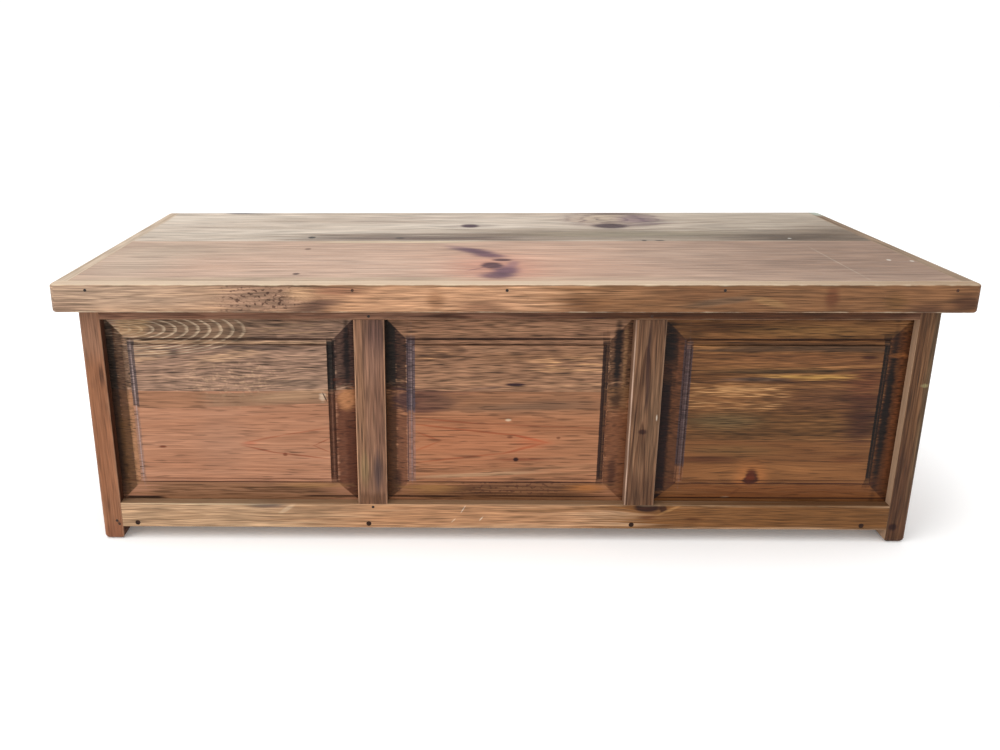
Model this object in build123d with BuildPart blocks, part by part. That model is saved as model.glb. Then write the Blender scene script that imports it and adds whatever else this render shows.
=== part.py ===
from build123d import *
import os

# A low pine trunk: four corner posts, grooved rails and muntins, raised panels,
# a boarded floor on pegged bearers, and an overhanging boarded lid on two butt hinges.
# Millimetres. +Z up, front towards -Y, origin on the floor under the middle of the lid.

# Overall sizes
lid_length = 1270.0
lid_depth = 618.0
total_height = 404.0

# Lid
lid_board = 20.0  # thickness of the two top boards
edge_strip = 20.0  # thickness of the strips nailed round the lid
edge_strip_height = 40.5
left_overhang = 26.0  # lid beyond the posts: it sits a little to the right
right_overhang = 34.0
front_overhang = 28.0
back_overhang = 24.0
lid_seat = 0.3  # boards above the rim of the trunk
board_joint_from_front = 316.0
board_tongue = 6.0
board_tongue_length = 8.0
lid_corner_round = 9.0
lid_top_wear = 4.0
lid_bottom_wear = 4.0

# Lid battens
batten_width = 60.0
batten_thickness = 22.0
batten_rim_gap = 9.0  # batten ends inside the rim, so that the lid swings clear
batten_from_end = 150.0  # outer battens from the inner faces of the ends
batten_chamfer = 6.0

# Frame
frame = 30.0  # thickness of posts, rails and muntins
post_depth = 62.0
foot_height = 21.0
bottom_rail_height = 39.5
top_rail_height = 37.2
muntin_width = 44.0
left_muntin_offset = 194.0  # from the middle of the front
right_muntin_offset = 203.0
corner_round = 5.0
foot_round = 7.5
arris = 1.2  # softened edges of the frame

# Joints of the frame
groove_depth = 8.0
groove_play = 0.3
tenon = 9.0
tenon_length = 18.0
tenon_shoulder = 6.0
mortise_play = 0.1
stub_play = 0.5

# Panels
panel_setback = 16.0  # front face of the tongue behind the face of the frame
tongue = 7.0
side_room = 1.0  # left at each side of a panel for the wood to move
top_room = 2.0
bevel_width = 32.0
bevel_rise = 5.0
band_width = 7.0
band_step = 2.5
field_step = 3.0
step_round = 0.9

# Floor
floor_board = 14.0
floor_boards_across = 3
floor_play = 0.5
bearer_width = 30.0
bearer_height = 14.0
peg_diameter = 7.6
peg_length = 58.0
outer_bearer_left = 23.0  # from the inner face of the left end to the peg
outer_bearer_right = 38.0
inner_bearer_left = 201.0  # from the middle of the trunk to the peg
inner_bearer_right = 194.0

# Hinges
hinge_from_end = 200.0
hinge_length = 62.0
leaf = 2.0
leaf_width = 24.0
knuckles = 5
knuckle_radius = 4.0
knuckle_gap = 0.3
knuckle_off_back = 0.5
hinge_pin_diameter = 4.0
pin_play = 0.05
pin_tip = 1.0
barrel_clearance = 0.7

# Fasteners
screw_head = 7.0
screw_head_depth = 1.9
screw_shank = 3.6
hinge_screw_length = 15.0
batten_screw_length = 34.0
nail_head = 4.2
nail_head_depth = 1.0
nail_shank = 2.6
strip_nail_length = 45.0
frame_nail_length = 26.0
floor_nail_length = 25.0
hole_play = 0.05
strip_nail_below_top = 8.5
strip_nail_left = 51.0  # from the left end of the lid
strip_nail_right = 34.0
strip_nails_between = (-217.0, -6.0, 289.0)
side_nail_margin = 62.0
muntin_nail_inset = 5.0  # from the shoulder into the stub tenon
post_nail_heights = (25.5, 31.0)
post_nail_insets = (5.0, 8.5)  # from the shoulder of the bottom rail

# Levels and faces that follow from the sizes above
lid_under = total_height - lid_board
body_top = lid_under - lid_seat
opening_bottom = foot_height + bottom_rail_height
opening_top = body_top - top_rail_height
half_lid = lid_length / 2
body_left = -half_lid + left_overhang
body_right = half_lid - right_overhang
middle_x = (body_left + body_right) / 2
half_body = (body_right - body_left) / 2
lid_front = -lid_depth / 2
lid_back = lid_depth / 2
body_front = lid_front + front_overhang
body_back = lid_back - back_overhang
half_inside = half_body - frame
inside_left = body_left + frame
inside_right = body_right - frame
half_end = (body_back - body_front) / 2 - post_depth
axis_y = body_back + knuckle_radius + knuckle_off_back
axis_z = body_top + lid_seat / 2
floor_under = foot_height + bearer_height
floor_top = floor_under + floor_board

groove_front = panel_setback - groove_play
groove_back = panel_setback + tongue + groove_play
tenon_front = panel_setback + tongue / 2 - tenon / 2
tenon_back = tenon_front + tenon

# Each wall is drawn on the plane of its outer face, seen from outside:
# across is local x, height is local y, and depth runs inwards from the plane.
middle_y = (body_front + body_back) / 2
front_wall = Plane(origin=(middle_x, body_front, 0), x_dir=(1, 0, 0), z_dir=(0, -1, 0))
back_wall = Plane(origin=(middle_x, body_back, 0), x_dir=(-1, 0, 0), z_dir=(0, 1, 0))
left_wall = Plane(origin=(body_left, middle_y, 0), x_dir=(0, -1, 0), z_dir=(-1, 0, 0))
right_wall = Plane(origin=(body_right, middle_y, 0), x_dir=(0, 1, 0), z_dir=(1, 0, 0))

os.makedirs("parts", exist_ok=True)


def save(builder, name):
    """Label a finished piece and write it."""
    builder.part.label = name
    export_step(builder.part, f"parts/{name}.step")


def wall_block(wall, across, height, depth, mode=Mode.ADD):
    """A block given by its spans across, up and into a wall."""
    with BuildSketch(wall.offset(-depth[1])) as outline:
        with Locations(((across[0] + across[1]) / 2, (height[0] + height[1]) / 2)):
            Rectangle(across[1] - across[0], height[1] - height[0])
    extrude(outline.sketch, amount=depth[1] - depth[0], mode=mode)


def block(x, y, z, mode=Mode.ADD):
    """A block given by its spans along the three axes."""
    with BuildSketch(Plane.XY.offset(z[0])) as outline:
        with Locations(((x[0] + x[1]) / 2, (y[0] + y[1]) / 2)):
            Rectangle(x[1] - x[0], y[1] - y[0])
    extrude(outline.sketch, amount=z[1] - z[0], mode=mode)


def screw(seat, length, play=0.0, mode=Mode.ADD):
    """A countersunk screw whose head lies flush in the plane of its seat."""
    with Locations(seat):
        Cone(
            screw_shank / 2 + play,
            screw_head / 2 + play,
            screw_head_depth,
            align=(Align.CENTER, Align.CENTER, Align.MAX),
            mode=mode,
        )
    with Locations(seat.offset(-screw_head_depth)):
        Cylinder(
            screw_shank / 2 + play,
            length - screw_head_depth,
            align=(Align.CENTER, Align.CENTER, Align.MAX),
            mode=mode,
        )


def nail(seat, length, play=0.0, mode=Mode.ADD):
    """A nail driven flush with the plane of its seat."""
    with Locations(seat):
        Cylinder(
            nail_head / 2 + play,
            nail_head_depth,
            align=(Align.CENTER, Align.CENTER, Align.MAX),
            mode=mode,
        )
    with Locations(seat.offset(-nail_head_depth)):
        Cylinder(
            nail_shank / 2 + play,
            length - nail_head_depth,
            align=(Align.CENTER, Align.CENTER, Align.MAX),
            mode=mode,
        )


def peg(seat, play=0.0, mode=Mode.ADD):
    """A round peg whose end is flush with the plane of its seat."""
    with Locations(seat):
        Cylinder(
            peg_diameter / 2 + play,
            peg_length,
            align=(Align.CENTER, Align.CENTER, Align.MAX),
            mode=mode,
        )


# Where the fasteners go
strip_nail_z = total_height - strip_nail_below_top
front_nail_xs = (-half_lid + strip_nail_left, *strip_nails_between, half_lid - strip_nail_right)
joint_y = lid_front + board_joint_from_front
side_nail_ys = (
    lid_front + edge_strip + side_nail_margin,
    joint_y - side_nail_margin,
    joint_y + side_nail_margin,
    lid_back - side_nail_margin,
)
strip_nails = [Plane(origin=(x, lid_front, strip_nail_z), z_dir=(0, -1, 0)) for x in front_nail_xs]
strip_nails += [Plane(origin=(-half_lid, y, strip_nail_z), z_dir=(-1, 0, 0)) for y in side_nail_ys]
strip_nails += [Plane(origin=(half_lid, y, strip_nail_z), z_dir=(1, 0, 0)) for y in side_nail_ys]

batten_xs = (inside_left + batten_from_end, middle_x, inside_right - batten_from_end)
batten_front = body_front + frame + batten_rim_gap
batten_back = body_back - frame - batten_rim_gap
batten_under = lid_under - batten_thickness
batten_screw_ys = (
    (batten_front * 3 + joint_y) / 4,
    (batten_front + joint_y * 3) / 4,
    (joint_y * 3 + batten_back) / 4,
    (joint_y + batten_back * 3) / 4,
)
batten_screws = [
    Plane(origin=(x, y, batten_under), z_dir=(0, 0, -1)) for x in batten_xs for y in batten_screw_ys
]

hinge_xs = (body_left + hinge_from_end, body_right - hinge_from_end)
leaf_front = body_back - leaf_width
hinge_screw_places = [
    (x + side * hinge_length / 3, leaf_front + leaf_width / 2) for x in hinge_xs for side in (-1, 0, 1)
]
body_leaf_screws = [Plane(origin=(x, y, body_top), z_dir=(0, 0, 1)) for x, y in hinge_screw_places]
lid_leaf_screws = [Plane(origin=(x, y, lid_under), z_dir=(0, 0, -1)) for x, y in hinge_screw_places]

bearer_xs = (
    inside_left + outer_bearer_left,
    middle_x - inner_bearer_left,
    middle_x + inner_bearer_right,
    inside_right - outer_bearer_right,
)
peg_z = foot_height + bearer_height / 2
front_pegs = [Plane(origin=(x, body_front, peg_z), z_dir=(0, -1, 0)) for x in bearer_xs]
back_pegs = [Plane(origin=(x, body_back, peg_z), z_dir=(0, 1, 0)) for x in bearer_xs]

floor_front = body_front + frame + floor_play
floor_back = body_back - frame - floor_play
floor_board_width = (floor_back - floor_front) / floor_boards_across
floor_nails = [
    Plane(origin=(x, floor_front + floor_board_width * (i + 0.5), floor_top), z_dir=(0, 0, 1))
    for x in bearer_xs
    for i in range(floor_boards_across)
]

muntin_nails = [
    Plane(origin=(x, body_front, z), z_dir=(0, -1, 0))
    for x, z in (
        (middle_x - left_muntin_offset, opening_top + muntin_nail_inset),
        (middle_x + right_muntin_offset, opening_top + muntin_nail_inset),
        (middle_x - left_muntin_offset, opening_bottom - muntin_nail_inset),
    )
]
post_nails = [
    Plane(origin=(inside_left - inset, body_front, z), z_dir=(0, -1, 0))
    for inset, z in zip(post_nail_insets, post_nail_heights)
]


# Corner posts with rounded feet
def mortise(wall, side, height):
    """A mortise in a post, in the edge that faces the middle of the wall."""
    shoulder = half_inside if wall in (front_wall, back_wall) else half_end
    reach = shoulder + tenon_length + mortise_play
    across = (shoulder, reach) if side > 0 else (-reach, -shoulder)
    spread = (height[0] - mortise_play, height[1] + mortise_play)
    depth = (tenon_front - mortise_play, tenon_back + mortise_play)
    wall_block(wall, across, spread, depth, mode=Mode.SUBTRACT)


def post_groove(wall, side):
    """The groove in a post for the edge of a panel."""
    shoulder = half_inside if wall in (front_wall, back_wall) else half_end
    across = (shoulder, shoulder + groove_depth) if side > 0 else (-shoulder - groove_depth, -shoulder)
    height = (opening_bottom - groove_depth, opening_top + groove_depth)
    wall_block(wall, across, height, (groove_front, groove_back), mode=Mode.SUBTRACT)


bottom_tenon = (foot_height + tenon_shoulder, opening_bottom - groove_depth - stub_play)
top_tenon = (opening_top + groove_depth + stub_play, body_top - tenon_shoulder)


def post(name, x_side, y_side, long_wall, long_side, end_wall, end_side):
    """A corner post: x_side and y_side say which corner it stands in."""
    x = (inside_right, body_right) if x_side > 0 else (body_left, inside_left)
    y = (body_back - post_depth, body_back) if y_side > 0 else (body_front, body_front + post_depth)
    with BuildPart() as piece:
        block(x, y, (0, body_top))
        uprights = piece.edges().filter_by(Axis.Z)
        outside = uprights.sort_by(lambda e: x_side * e.center().X + y_side * e.center().Y)[-1]
        beside_opening = uprights.sort_by(lambda e: -x_side * e.center().X + y_side * e.center().Y)[-1]
        fillet(outside, radius=corner_round)
        fillet(beside_opening, radius=arris)
        fillet(piece.faces().sort_by(Axis.Z)[0].edges(), radius=foot_round)
        for wall, side in ((long_wall, long_side), (end_wall, end_side)):
            post_groove(wall, side)
            for height in (bottom_tenon, top_tenon):
                mortise(wall, side, height)
        if name == "front_left_post":
            for seat in post_nails:
                nail(seat, frame_nail_length, hole_play, Mode.SUBTRACT)
    save(piece, name)


post("front_left_post", -1, -1, front_wall, -1, left_wall, 1)
post("front_right_post", 1, -1, front_wall, 1, right_wall, -1)
post("back_left_post", -1, 1, back_wall, 1, left_wall, -1)
post("back_right_post", 1, 1, back_wall, -1, right_wall, 1)


# Rails, tenoned into the posts and grooved for the panels
def rail(name, wall, half_span, height, tenon_height, groove_on_top, holes=()):
    """A rail between two posts, with its groove on the edge beside the opening."""
    edge = height[1] if groove_on_top else height[0]
    groove = (edge - groove_depth, edge) if groove_on_top else (edge, edge + groove_depth)
    with BuildPart() as piece:
        wall_block(wall, (-half_span, half_span), height, (0, frame))
        face_edges = piece.faces().sort_by(lambda f: f.center().dot(wall.z_dir))[-1].edges()
        long_edges = face_edges.filter_by(lambda e: e.length > bottom_rail_height * 2)
        fillet(long_edges, radius=arris)
        wall_block(wall, (-half_span, half_span), groove, (groove_front, groove_back), mode=Mode.SUBTRACT)
        for side in (-1, 1):
            across = sorted((side * (half_span - tenon_length), side * (half_span + tenon_length)))
            wall_block(wall, across, tenon_height, (tenon_front, tenon_back))
        for cut in holes:
            cut()
    save(piece, name)


def cut_all(maker, seats, *sizes):
    """One cutting step: holes for every fastener of a list."""
    return lambda: [maker(seat, *sizes, play=hole_play, mode=Mode.SUBTRACT) for seat in seats]


def cut_leaf_beds():
    """Beds for the body leaves in the top edge of the back rail."""
    for x in hinge_xs:
        span = (x - hinge_length / 2 - mortise_play, x + hinge_length / 2 + mortise_play)
        bed = (leaf_front - mortise_play, body_back + leaf)
        block(span, bed, (body_top - leaf, body_top + leaf), mode=Mode.SUBTRACT)


bottom_span = (foot_height, opening_bottom)
top_span = (opening_top, body_top)
rail(
    "front_bottom_rail", front_wall, half_inside, bottom_span, bottom_tenon, True,
    [cut_all(peg, front_pegs), cut_all(nail, muntin_nails + post_nails, frame_nail_length)],
)
rail(
    "front_top_rail", front_wall, half_inside, top_span, top_tenon, False,
    [cut_all(nail, muntin_nails, frame_nail_length)],
)
rail(
    "back_bottom_rail", back_wall, half_inside, bottom_span, bottom_tenon, True,
    [cut_all(peg, back_pegs)],
)
rail(
    "back_top_rail", back_wall, half_inside, top_span, top_tenon, False,
    [cut_leaf_beds, cut_all(screw, body_leaf_screws, hinge_screw_length)],
)
for side_name, side_wall in (("left", left_wall), ("right", right_wall)):
    rail(f"{side_name}_bottom_rail", side_wall, half_end, bottom_span, bottom_tenon, True)
    rail(f"{side_name}_top_rail", side_wall, half_end, top_span, top_tenon, False)


# Muntins: stub tenons in the grooves of the rails, a groove down each side
def muntin(name, wall, centre, holes=()):
    """An upright between two panels."""
    sides = (centre - muntin_width / 2, centre + muntin_width / 2)
    stub = (sides[0] + groove_depth, sides[1] - groove_depth)
    stub_height = (opening_bottom - groove_depth + stub_play, opening_top + groove_depth - stub_play)
    with BuildPart() as piece:
        wall_block(wall, sides, (opening_bottom, opening_top), (0, frame))
        face = piece.faces().sort_by(lambda f: f.center().dot(wall.z_dir))[-1]
        fillet(face.edges().filter_by(Axis.Z), radius=arris)
        for edge in ((sides[0], stub[0]), (stub[1], sides[1])):
            groove = (groove_front, groove_back)
            wall_block(wall, edge, (opening_bottom, opening_top), groove, mode=Mode.SUBTRACT)
        wall_block(wall, stub, stub_height, (panel_setback, panel_setback + tongue))
        for cut in holes:
            cut()
    save(piece, name)


pin_muntins = [cut_all(nail, muntin_nails, frame_nail_length)]
muntin("front_left_muntin", front_wall, -left_muntin_offset, pin_muntins)
muntin("front_right_muntin", front_wall, right_muntin_offset, pin_muntins)
muntin("back_right_muntin", back_wall, -right_muntin_offset)
muntin("back_left_muntin", back_wall, left_muntin_offset)


# Panels
def framed(across):
    """The outline of a panel's tongue: it stands in the bottom groove, with room beside and above."""
    reach = groove_depth - side_room
    sides = (across[0] - reach, across[1] + reach)
    return sides, (opening_bottom - groove_depth, opening_top + groove_depth - top_room)


def raised_layer(wall, across, inset, depth):
    """A rectangle set in from the edges of the opening, at one depth behind the frame."""
    height = opening_top - opening_bottom - 2 * inset
    with BuildSketch(wall.offset(-depth)) as layer:
        with Locations(((across[0] + across[1]) / 2, (opening_bottom + opening_top) / 2)):
            Rectangle(across[1] - across[0] - 2 * inset, height)
    return layer.sketch


def raised_panel(name, wall, across):
    """A fielded panel: tongue, wide bevel, a narrow stepped band and the flat field."""
    bevel_top = panel_setback - bevel_rise
    sides, height = framed(across)
    with BuildPart() as piece:
        wall_block(wall, sides, height, (panel_setback, panel_setback + tongue))
        loft(
            [
                raised_layer(wall, across, 0, panel_setback),
                raised_layer(wall, across, bevel_width, bevel_top),
            ],
            ruled=True,
        )
        extrude(raised_layer(wall, across, bevel_width, bevel_top), amount=band_step)
        band_face = piece.faces().sort_by(lambda f: f.center().dot(wall.z_dir))[-1]
        fillet(band_face.edges(), radius=step_round)
        inset = bevel_width + band_width
        extrude(raised_layer(wall, across, inset, bevel_top - band_step), amount=field_step)
        field_face = piece.faces().sort_by(lambda f: f.center().dot(wall.z_dir))[-1]
        fillet(field_face.edges(), radius=step_round)
    save(piece, name)


def flat_panel(name, wall, across):
    """A plain panel, as thick as its groove takes."""
    sides, height = framed(across)
    with BuildPart() as piece:
        wall_block(wall, sides, height, (panel_setback, panel_setback + tongue))
    save(piece, name)


half_muntin = muntin_width / 2
openings = {
    "left": (-half_inside, -left_muntin_offset - half_muntin),
    "middle": (-left_muntin_offset + half_muntin, right_muntin_offset - half_muntin),
    "right": (right_muntin_offset + half_muntin, half_inside),
}
for place, across in openings.items():
    raised_panel(f"front_{place}_panel", front_wall, across)
    # The back wall is seen from behind, so its left and right change over.
    flat_panel(f"back_{place}_panel", back_wall, (-across[1], -across[0]))
raised_panel("left_end_panel", left_wall, (-half_end, half_end))
raised_panel("right_end_panel", right_wall, (-half_end, half_end))

# Floor: bearers pegged between the rails, boards laid along them
for place, x in zip(("far_left", "left", "right", "far_right"), bearer_xs):
    with BuildPart() as bearer:
        span = (x - bearer_width / 2, x + bearer_width / 2)
        block(span, (body_front + frame, body_back - frame), (foot_height, floor_under))
        for seat in front_pegs + back_pegs:
            peg(seat, hole_play, Mode.SUBTRACT)
        for seat in floor_nails:
            nail(seat, floor_nail_length, hole_play, Mode.SUBTRACT)
    save(bearer, f"floor_bearer_{place}")

floor_span = (inside_left + floor_play, inside_right - floor_play)
for i, place in enumerate(("front", "middle", "back")):
    near = floor_front + floor_board_width * i
    with BuildPart() as board:
        block(floor_span, (near, near + floor_board_width), (floor_under, floor_top))
        for seat in floor_nails:
            nail(seat, floor_nail_length, hole_play, Mode.SUBTRACT)
    save(board, f"floor_board_{place}")

with BuildPart() as floor_pegs:
    for seat in front_pegs + back_pegs:
        peg(seat)
save(floor_pegs, "floor_pegs")

with BuildPart() as floor_nail_set:
    for seat in floor_nails:
        nail(seat, floor_nail_length)
save(floor_nail_set, "floor_nails")

with BuildPart() as frame_nail_set:
    for seat in muntin_nails + post_nails:
        nail(seat, frame_nail_length)
save(frame_nail_set, "frame_nails")

# Lid: two tongued boards, strips round the front and the ends, battens below
board_ends = (-half_lid + edge_strip, half_lid - edge_strip)
tongue_z = (lid_under + lid_board / 2 - board_tongue / 2, lid_under + lid_board / 2 + board_tongue / 2)
lid_levels = (lid_under, total_height)
barrel_half = knuckle_radius + barrel_clearance


def cut_lid_fasteners():
    """Holes in a lid board for the nails of the strips and the screws from below."""
    for seat in strip_nails:
        nail(seat, strip_nail_length, hole_play, Mode.SUBTRACT)
    for seat in batten_screws:
        screw(seat, batten_screw_length, hole_play, Mode.SUBTRACT)
    for seat in lid_leaf_screws:
        screw(seat, hinge_screw_length, hole_play, Mode.SUBTRACT)


with BuildPart() as lid_front_board:
    block(board_ends, (lid_front + edge_strip, joint_y), lid_levels)
    groove_z = (tongue_z[0] - mortise_play, tongue_z[1] + mortise_play)
    groove_y = (joint_y - board_tongue_length - mortise_play, joint_y)
    block(board_ends, groove_y, groove_z, mode=Mode.SUBTRACT)
    cut_lid_fasteners()
save(lid_front_board, "lid_front_board")

with BuildPart() as lid_back_board:
    block(board_ends, (joint_y, lid_back), lid_levels)
    back_edges = lid_back_board.faces().sort_by(Axis.Y)[-1].edges().filter_by(Axis.X)
    fillet(back_edges.sort_by(Axis.Z)[-1], radius=lid_top_wear)
    fillet(back_edges.sort_by(Axis.Z)[0], radius=lid_bottom_wear)
    block(board_ends, (joint_y - board_tongue_length, joint_y), tongue_z)
    for x in hinge_xs:
        bed_x = (x - hinge_length / 2 - mortise_play, x + hinge_length / 2 + mortise_play)
        barrel_x = (bed_x[0] - pin_tip - mortise_play, bed_x[1] + pin_tip + mortise_play)
        barrel_y = (axis_y - barrel_half, axis_y + barrel_half)
        bed_y = (leaf_front - mortise_play, axis_y)
        block(bed_x, bed_y, (lid_under - leaf, lid_under + leaf), mode=Mode.SUBTRACT)
        block(barrel_x, barrel_y, (lid_under - leaf, axis_z + barrel_half), mode=Mode.SUBTRACT)
    cut_lid_fasteners()
save(lid_back_board, "lid_back_board")

strip_levels = (total_height - edge_strip_height, total_height)
with BuildPart() as lid_front_strip:
    block((-half_lid, half_lid), (lid_front, lid_front + edge_strip), strip_levels)
    corners = lid_front_strip.edges().filter_by(Axis.Z).group_by(Axis.Y)[0]
    fillet(corners, radius=lid_corner_round)
    top_edges = lid_front_strip.edges().group_by(Axis.Z)[-1].sort_by(Axis.Y)[:-1]
    fillet(top_edges, radius=lid_top_wear)
    bottom_edges = lid_front_strip.edges().group_by(Axis.Z)[0].sort_by(Axis.Y)[:-1]
    fillet(bottom_edges, radius=lid_bottom_wear)
    for seat in strip_nails:
        nail(seat, strip_nail_length, hole_play, Mode.SUBTRACT)
save(lid_front_strip, "lid_front_strip")

for side_name, side in (("left", -1), ("right", 1)):
    with BuildPart() as lid_side_strip:
        span = sorted((side * half_lid, side * (half_lid - edge_strip)))
        block(span, (lid_front + edge_strip, lid_back), strip_levels)
        uprights = lid_side_strip.edges().filter_by(Axis.Z).group_by(Axis.Y)[-1]
        fillet(uprights.sort_by(lambda e: side * e.center().X)[-1], radius=lid_corner_round)
        # The outer and back edges are worn; the front end and the inner edge stay square.
        for level, wear in ((-1, lid_top_wear), (0, lid_bottom_wear)):
            rim = lid_side_strip.edges().group_by(Axis.Z)[level]
            rim = rim.sort_by(Axis.Y)[1:]
            rim = rim.sort_by(lambda e: side * e.center().X)[1:]
            fillet(rim, radius=wear)
        for seat in strip_nails:
            nail(seat, strip_nail_length, hole_play, Mode.SUBTRACT)
    save(lid_side_strip, f"lid_{side_name}_strip")

for place, x in zip(("left", "middle", "right"), batten_xs):
    with BuildPart() as batten:
        span = (x - batten_width / 2, x + batten_width / 2)
        block(span, (batten_front, batten_back), (batten_under, lid_under))
        ends = batten.faces().sort_by(Axis.Z)[0].edges().filter_by(Axis.X)
        chamfer(ends, length=batten_chamfer)
        for seat in batten_screws:
            screw(seat, batten_screw_length, hole_play, Mode.SUBTRACT)
    save(batten, f"lid_{place}_batten")

with BuildPart() as strip_nail_set:
    for seat in strip_nails:
        nail(seat, strip_nail_length)
save(strip_nail_set, "lid_strip_nails")

with BuildPart() as batten_screw_set:
    for seat in batten_screws:
        screw(seat, batten_screw_length)
save(batten_screw_set, "lid_batten_screws")

# Butt hinges: the leaves lie flush in the rail and the lid, the barrel stands behind
knuckle_pitch = hinge_length / knuckles


def hinge_leaf(name, x, first_knuckle, levels, screws):
    """One leaf with every second knuckle, starting at first_knuckle."""
    near_end = x - hinge_length / 2
    with BuildPart() as piece:
        clear_of_barrel = axis_y - knuckle_radius - knuckle_gap
        block((near_end, near_end + hinge_length), (leaf_front, clear_of_barrel), levels)
        for i in range(first_knuckle, knuckles, 2):
            start = near_end + knuckle_pitch * i + (knuckle_gap / 2 if i > 0 else 0)
            end = near_end + knuckle_pitch * (i + 1) - (knuckle_gap / 2 if i < knuckles - 1 else 0)
            block((start, end), (clear_of_barrel - leaf, axis_y), levels)
            with BuildSketch(Plane.YZ.offset(start)) as barrel:
                with Locations((axis_y, axis_z)):
                    Circle(knuckle_radius)
            extrude(barrel.sketch, amount=end - start)
        with BuildSketch(Plane.YZ.offset(near_end)) as bore:
            with Locations((axis_y, axis_z)):
                Circle(hinge_pin_diameter / 2 + pin_play)
        extrude(bore.sketch, amount=hinge_length, mode=Mode.SUBTRACT)
        for seat in screws:
            screw(seat, hinge_screw_length, hole_play, Mode.SUBTRACT)
    save(piece, name)


for side_name, x in zip(("left", "right"), hinge_xs):
    hinge_leaf(f"{side_name}_hinge_body_leaf", x, 0, (body_top - leaf, body_top), body_leaf_screws)
    hinge_leaf(f"{side_name}_hinge_lid_leaf", x, 1, (lid_under, lid_under + leaf), lid_leaf_screws)
    with BuildPart() as hinge_pin:
        pin_start = x - hinge_length / 2 - pin_tip
        with BuildSketch(Plane.YZ.offset(pin_start)) as section:
            with Locations((axis_y, axis_z)):
                Circle(hinge_pin_diameter / 2)
        extrude(section.sketch, amount=hinge_length + 2 * pin_tip)
        chamfer(hinge_pin.edges().filter_by(GeomType.CIRCLE), length=pin_tip / 2)
    save(hinge_pin, f"{side_name}_hinge_pin")

with BuildPart() as body_screw_set:
    for seat in body_leaf_screws:
        screw(seat, hinge_screw_length)
save(body_screw_set, "hinge_body_screws")

with BuildPart() as lid_screw_set:
    for seat in lid_leaf_screws:
        screw(seat, hinge_screw_length)
save(lid_screw_set, "hinge_lid_screws")
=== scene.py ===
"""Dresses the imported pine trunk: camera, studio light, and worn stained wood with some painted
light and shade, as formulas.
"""

import math

import bmesh
import bpy
from mathutils import Matrix, Vector


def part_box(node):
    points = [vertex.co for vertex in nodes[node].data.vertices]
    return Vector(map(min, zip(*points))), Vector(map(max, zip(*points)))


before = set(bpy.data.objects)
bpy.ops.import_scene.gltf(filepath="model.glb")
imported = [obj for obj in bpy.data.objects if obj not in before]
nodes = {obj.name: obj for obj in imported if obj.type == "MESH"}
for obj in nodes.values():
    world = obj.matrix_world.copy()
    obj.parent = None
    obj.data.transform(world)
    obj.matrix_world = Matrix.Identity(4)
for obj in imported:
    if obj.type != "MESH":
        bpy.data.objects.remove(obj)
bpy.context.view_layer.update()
scene = bpy.context.scene

MM = 0.001
X, Y, Z = 0, 1, 2
WHITE = (1.0, 1.0, 1.0, 1.0)


# Camera, fitted to the straight edges of the photograph

CAMERA_PLACE = (-0.0890, -1.5923, 0.7033)
PITCH, YAW, ROLL = 0.32267, -0.01882, -0.00398
FOCAL_PIXELS = 965.8
MIDDLE_COLUMN = 428.7
IMAGE_WIDTH = 1000
SENSOR = 36.0
NEAREST, FARTHEST = 0.05, 60


def rotation(angle, a, b):
    """A turn from axis a towards axis b."""
    turn = Matrix.Identity(3)
    turn[a][a] = turn[b][b] = math.cos(angle)
    turn[a][b] = -math.sin(angle)
    turn[b][a] = math.sin(angle)
    return turn


def make_camera():
    base = Matrix(((1, 0, 0), (0, 0, -1), (0, 1, 0)))
    rows = rotation(ROLL, 0, 1) @ rotation(PITCH, 1, 2) @ base @ rotation(YAW, 0, 1)
    data = bpy.data.cameras.new("camera")
    data.sensor_width = SENSOR
    data.lens = FOCAL_PIXELS * SENSOR / IMAGE_WIDTH
    data.shift_x = (IMAGE_WIDTH / 2 - MIDDLE_COLUMN) / IMAGE_WIDTH
    data.clip_start = NEAREST
    data.clip_end = FARTHEST
    camera = bpy.data.objects.new("camera", data)
    scene.collection.objects.link(camera)
    turn = Matrix((rows[0], -rows[1], -rows[2])).transposed()
    camera.matrix_world = Matrix.Translation(CAMERA_PLACE) @ turn.to_4x4()
    scene.camera = camera


# Light

# name, place, the point that it is aimed at, size, watts, tint
LIGHTS = (
    ("key", (-2.6, -2.4, 2.7), (0, 0, 0.2), (2.2, 2.2), 50, (1.0, 0.98, 0.95)),
    ("overhead", (-0.4, 0.2, 3.4), (0, 0, 0.3), (3.0, 2.0), 45, (0.97, 0.99, 1.0)),
)
WORLD_STRENGTH = 1.08
# A dark flag above the white backdrop keeps its glare off the lid. Its edges are sines of the
# height above the horizon, and its sides are cosines of the angle from straight behind.
FLAG_LOWER_EDGE = (0.09, 0.2)
FLAG_UPPER_EDGE = (0.8, 0.5)
FLAG_SIDES = (0.2, 0.6)
FLAG_DARKNESS = 0.75


def make_light(name, place, aim, size, energy, tint):
    data = bpy.data.lights.new(name, "AREA")
    data.shape = "RECTANGLE"
    data.size, data.size_y = size
    data.energy = energy
    data.color = tint
    light = bpy.data.objects.new(name, data)
    scene.collection.objects.link(light)
    light.location = place
    light.rotation_euler = (Vector(aim) - Vector(place)).to_track_quat("-Z", "Y").to_euler()


def make_studio():
    scene.view_settings.view_transform = "Standard"
    for settings in LIGHTS:
        make_light(*settings)
    world = bpy.data.worlds.new("studio")
    scene.world = world
    world.use_nodes = True
    net = Net(world)
    _, behind, height = net.split(net.generated)
    flag = height.step(*FLAG_LOWER_EDGE) * height.step(*FLAG_UPPER_EDGE) * behind.step(*FLAG_SIDES)
    strength = (1.0 - flag * FLAG_DARKNESS) * WORLD_STRENGTH
    background = net.node("ShaderNodeBackground", {"Color": WHITE, "Strength": strength})
    output = net.tree.nodes.new("ShaderNodeOutputWorld")
    net.tree.links.new(background.socket, output.inputs["Surface"])


# Shader formulas

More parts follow.
